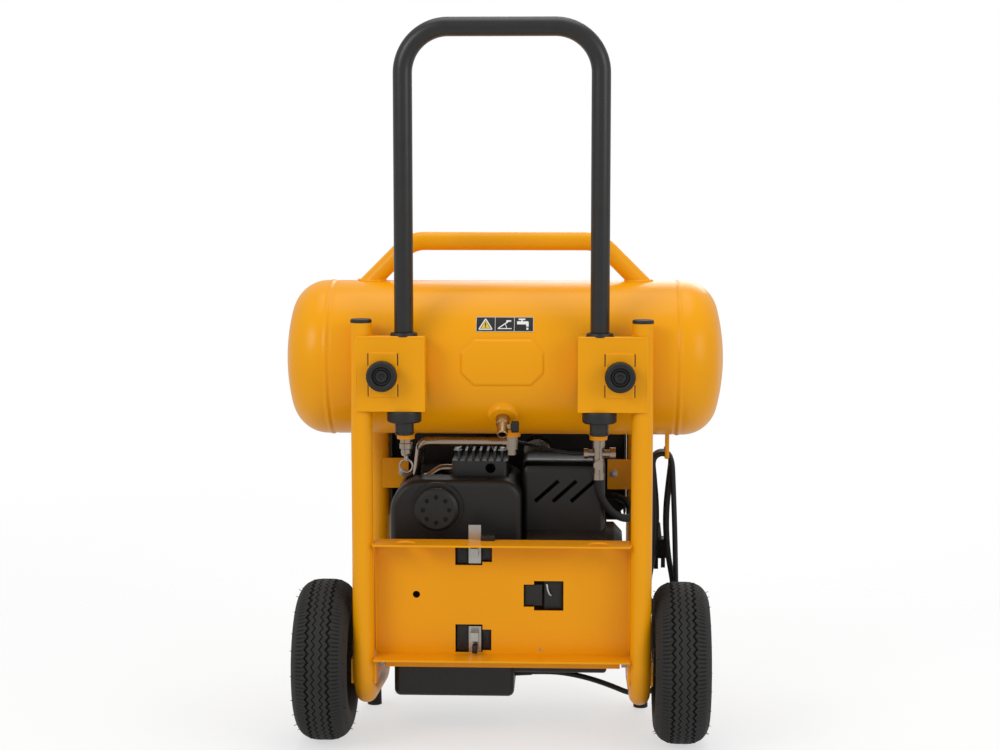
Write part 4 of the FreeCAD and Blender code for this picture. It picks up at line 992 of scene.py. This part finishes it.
def handleFootLine(side):
    # Where the slanted leg of the carry handle meets the tank: each line of the leg is cut with the barrel.
    half = math.sqrt(0.5)
    slope, across = np.array([-side * half, 0, half]), np.array([side * half, 0, half])
    turn = np.linspace(0, 2 * math.pi, 49)[:, None]
    root = np.array(weld["footRoot"]) * (side, 1, 1)
    ring = root + weld["footRadius"] * (np.cos(turn) * across + np.sin(turn) * np.array([0, 1.0, 0]))
    height = tank["height"] + np.sqrt(tank["radius"] ** 2 - ring[:, 1] ** 2)
    return ring + ((height - ring[:, 2]) / slope[2])[:, None] * slope


def makeWelds():
    parts = [bead(handleFootLine(side), weld["foot"]) for side in (1, -1)]
    lines = [weld["panelSide"], *weld["panelEnds"], *weld["bracketEnds"], weld["bracketSide"]]
    for side in (1, -1):
        for start, end, steps, radius in lines:
            parts.append(bead(np.linspace(start, end, steps) * (side, 1, 1), radius))
    addPiece("weldBeads", *gathered(parts), "yellow", slot="yellow_paint")


def hexBolt(place, way, flat, depth):
    # A six-sided head on a washer: between its corners the radius follows the flat's distance.
    def six(along, radius, angle):
        turn = (angle + math.pi / 6) % (math.pi / 3) - math.pi / 6
        return np.where((along > 1.0) & (radius > flat * 0.9), flat / np.cos(turn), radius)
    washer = flat * 1.55
    outline = [(0, 0), (0, washer), (1.0, washer), (1.0, flat * 0.95), (1.2, flat), (depth - 0.6, flat),
               (depth, flat * 0.85), (depth, 0)]
    return turnedSurface(outline, place, way, 48, 0.15, ripple=six)


def makeBolts():
    x, y, z = bolts["tab"]
    parts = [hexBolt((side * x, y, z), (0, -1, 0), 3.6, 5.0) for side in (1, -1)]
    parts += [hexBolt((x, y, bolts["headZ"]), (0, 0, 1), 3.6, 4.5)
              for x in bolts["headX"] for y in bolts["headY"]]
    parts += [hexBolt((side * bolts["consoleX"], bolts["consoleY"], z), (0, 1, 0), 2.8, 3.2)
              for side in (1, -1) for z in bolts["consoleZ"]]
    addPiece("boltHeads", *gathered(parts), "zinc", slot="steel")


makeWelds()
makeBolts()
print("welds and bolts made")


inserts = {
    "flat": [((-62, -93, 249), (-47, -88, 274)), ((-27.5, -93, 254), (-14.6, -88, 273)),
             ((-62, -93, 128), (-47, -88, 165)), ((-27.5, -93, 131), (-15.6, -88, 158)),
             ((29.8, -94, 192), (54, -87, 221)), ((57, -92, 187.6), (82, -84, 226))],
    "catch": ((-29, -106, 283.2), (-10, -86, 290.5), 1.2),
    "stub": ((-40.5, -112, 128.5), (-33.5, -104, 140.5), 1.5),
    "hook": [(60, -94, 222), (61.5, -95.5, 214), (64, -95.6, 208), (66.5, -94.2, 206)]}
# Where the painted-shade blocks for the bracket slits sit, and the folded lips.
slitShadeAndLips = {"x": (136.8, 176.2), "half": 0.7, "y": (-139.3, -138.2), "z": (483, 524), "long": 17,
         "lipRadius": 1.9,
         "lips": [[(102, -137.4, 561.6), (192, -137.4, 561.6)],
                  [(192.2, -137.4, 465), (192.2, -137.4, 560)]]}


def block(low, high, soft=0.4):
    # A box between two corners, with soft edges on the side that faces the operator.
    (x0, y0, z0), (x1, y1, z1) = low, high
    outline = softCorners([(0, 0), (x1 - x0, 0), (x1 - x0, z1 - z0), (0, z1 - z0)], soft, True)
    return slab(outline, y1 - y0, (x0, y1, z0), (1, 0, 0), (0, 0, 1), soft)


def makeInserts():
    # Buckle parts seen through the panel's windows, and the hooks that hold the two spring clips.
    dark = [block(*corners) for corners in (*inserts["flat"], inserts["catch"], inserts["stub"])]
    addPiece("buckleParts", *gathered(dark), "plastic", slot="black_plastic")
    hook = cornerPath(inserts["hook"], [2, 2], 0.8)
    addPiece("buckleHook", *sweptSurface(hook, 1.5, 14, 0.6), "clip", slot="steel")


def makeSlitShadeAndLips():
    # Painted shade: thin black blocks stand for the shadow inside the slits beside the lanced bridge of
    # each bracket; then the folded lip along its edges.
    slitShade, lips = [], []
    half, (rear, front) = slitShadeAndLips["half"], slitShadeAndLips["y"]
    for side in (1, -1):
        for x in slitShadeAndLips["x"]:
            slitShade += [block((side * x - half, rear, z), (side * x + half, front, z + slitShadeAndLips["long"]), 0.6)
                     for z in slitShadeAndLips["z"]]
        lips += [sweptSurface(np.array(line) * (side, 1, 1), slitShadeAndLips["lipRadius"], 16, 0.8)
                 for line in slitShadeAndLips["lips"]]
    addPiece("bracketSlitShade", *gathered(slitShade), "signBlack", slot="black_plastic")
    addPiece("bracketLips", *gathered(lips), "yellow", slot="yellow_paint")


makeInserts()
makeSlitShadeAndLips()
print("small parts made")

gauge = {"x": 42.0, "z": 366.0, "floor": 164.1, "radius": 18.4, "sweep": 270.0, "start": -45.0, "steps": 50,
         "disc": 0.4, "longMark": (3.2, 3.6, 0.7), "shortMark": (2.2, 1.8, 0.35), "figureSize": 4.6,
         "figureInset": 7.6, "figures": ("0", "4", "8", "12", "16", "20")}


def flatBar(centre, length, width, turn, deep=0.25):
    # A thin bar that lies on a dial, turned about the dial's axis.
    way = np.array([math.cos(turn), math.sin(turn)])
    out = np.array([-way[1], way[0]])
    corner = [centre + way * length / 2 * a + out * width / 2 * b
              for a, b in ((-1, -1), (1, -1), (1, 1), (-1, 1))]
    points = [(x, gauge["floor"] + gauge["disc"] + level, z) for level in (0, deep) for x, z in corner]
    sides = [[k, k + 4, (k + 1) % 4 + 4, (k + 1) % 4] for k in range(4)]
    return np.array(points) * mm, [[0, 1, 2, 3], [7, 6, 5, 4]] + sides


def dialFigure(text, place):
    # One number as a mesh that stands upright and faces the front.
    font = bpy.data.curves.new("figure", "FONT")
    font.body = text
    font.size = gauge["figureSize"] * mm
    font.align_x, font.align_y = "CENTER", "CENTER"
    font.extrude = 0.1 * mm
    shape = bpy.data.objects.new("figure", font)
    mesh = bpy.data.meshes.new_from_object(shape)
    bpy.data.objects.remove(shape)
    upright = Matrix.Rotation(math.pi, 4, "Z") @ Matrix.Rotation(math.pi / 2, 4, "X")
    mesh.transform(Matrix.Translation(place) @ upright)
    mesh.materials.clear()
    mesh.materials.append(finishes["signBlack"])
    return mesh


def makeDial(side):
    centre = np.array([side * gauge["x"], gauge["z"]])
    word = "outlet" if side > 0 else "tank"
    deep = gauge["disc"]
    disc = turnedSurface([(0, 0), (0, gauge["radius"]), (deep, gauge["radius"]), (deep, 0)],
                         (centre[0], gauge["floor"], centre[1]), (0, 1, 0), 64, 0.1)
    addPiece("dial_" + word, *disc, "dial", slot="gauge_black")
    parts = []
    for number in range(gauge["steps"] + 1):
        turn = math.radians(gauge["start"] + gauge["sweep"] * number / gauge["steps"])
        inset, length, width = gauge["shortMark"] if number % 5 else gauge["longMark"]
        place = centre + np.array([math.cos(turn), math.sin(turn)]) * (gauge["radius"] - inset)
        parts.append(flatBar(place, length, width, turn))
    addPiece("dialMarks_" + word, *gathered(parts), "signBlack", slot="gauge_black")
    for number, text in enumerate(gauge["figures"]):
        turn = math.radians(225 - gauge["sweep"] * number / 5)
        reach = gauge["radius"] - gauge["figureInset"]
        place = Vector((centre[0] - math.cos(turn) * reach, gauge["floor"] + 0.6,
                        centre[1] + math.sin(turn) * reach)) * mm
        mesh = dialFigure(text, place)
        figure = bpy.data.objects.new("dialFigure_%s_%d" % (word, number), mesh)
        scene.collection.objects.link(figure)
        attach(figure, "chassis")


for side in (1, -1):
    makeDial(side)
print("gauges made")
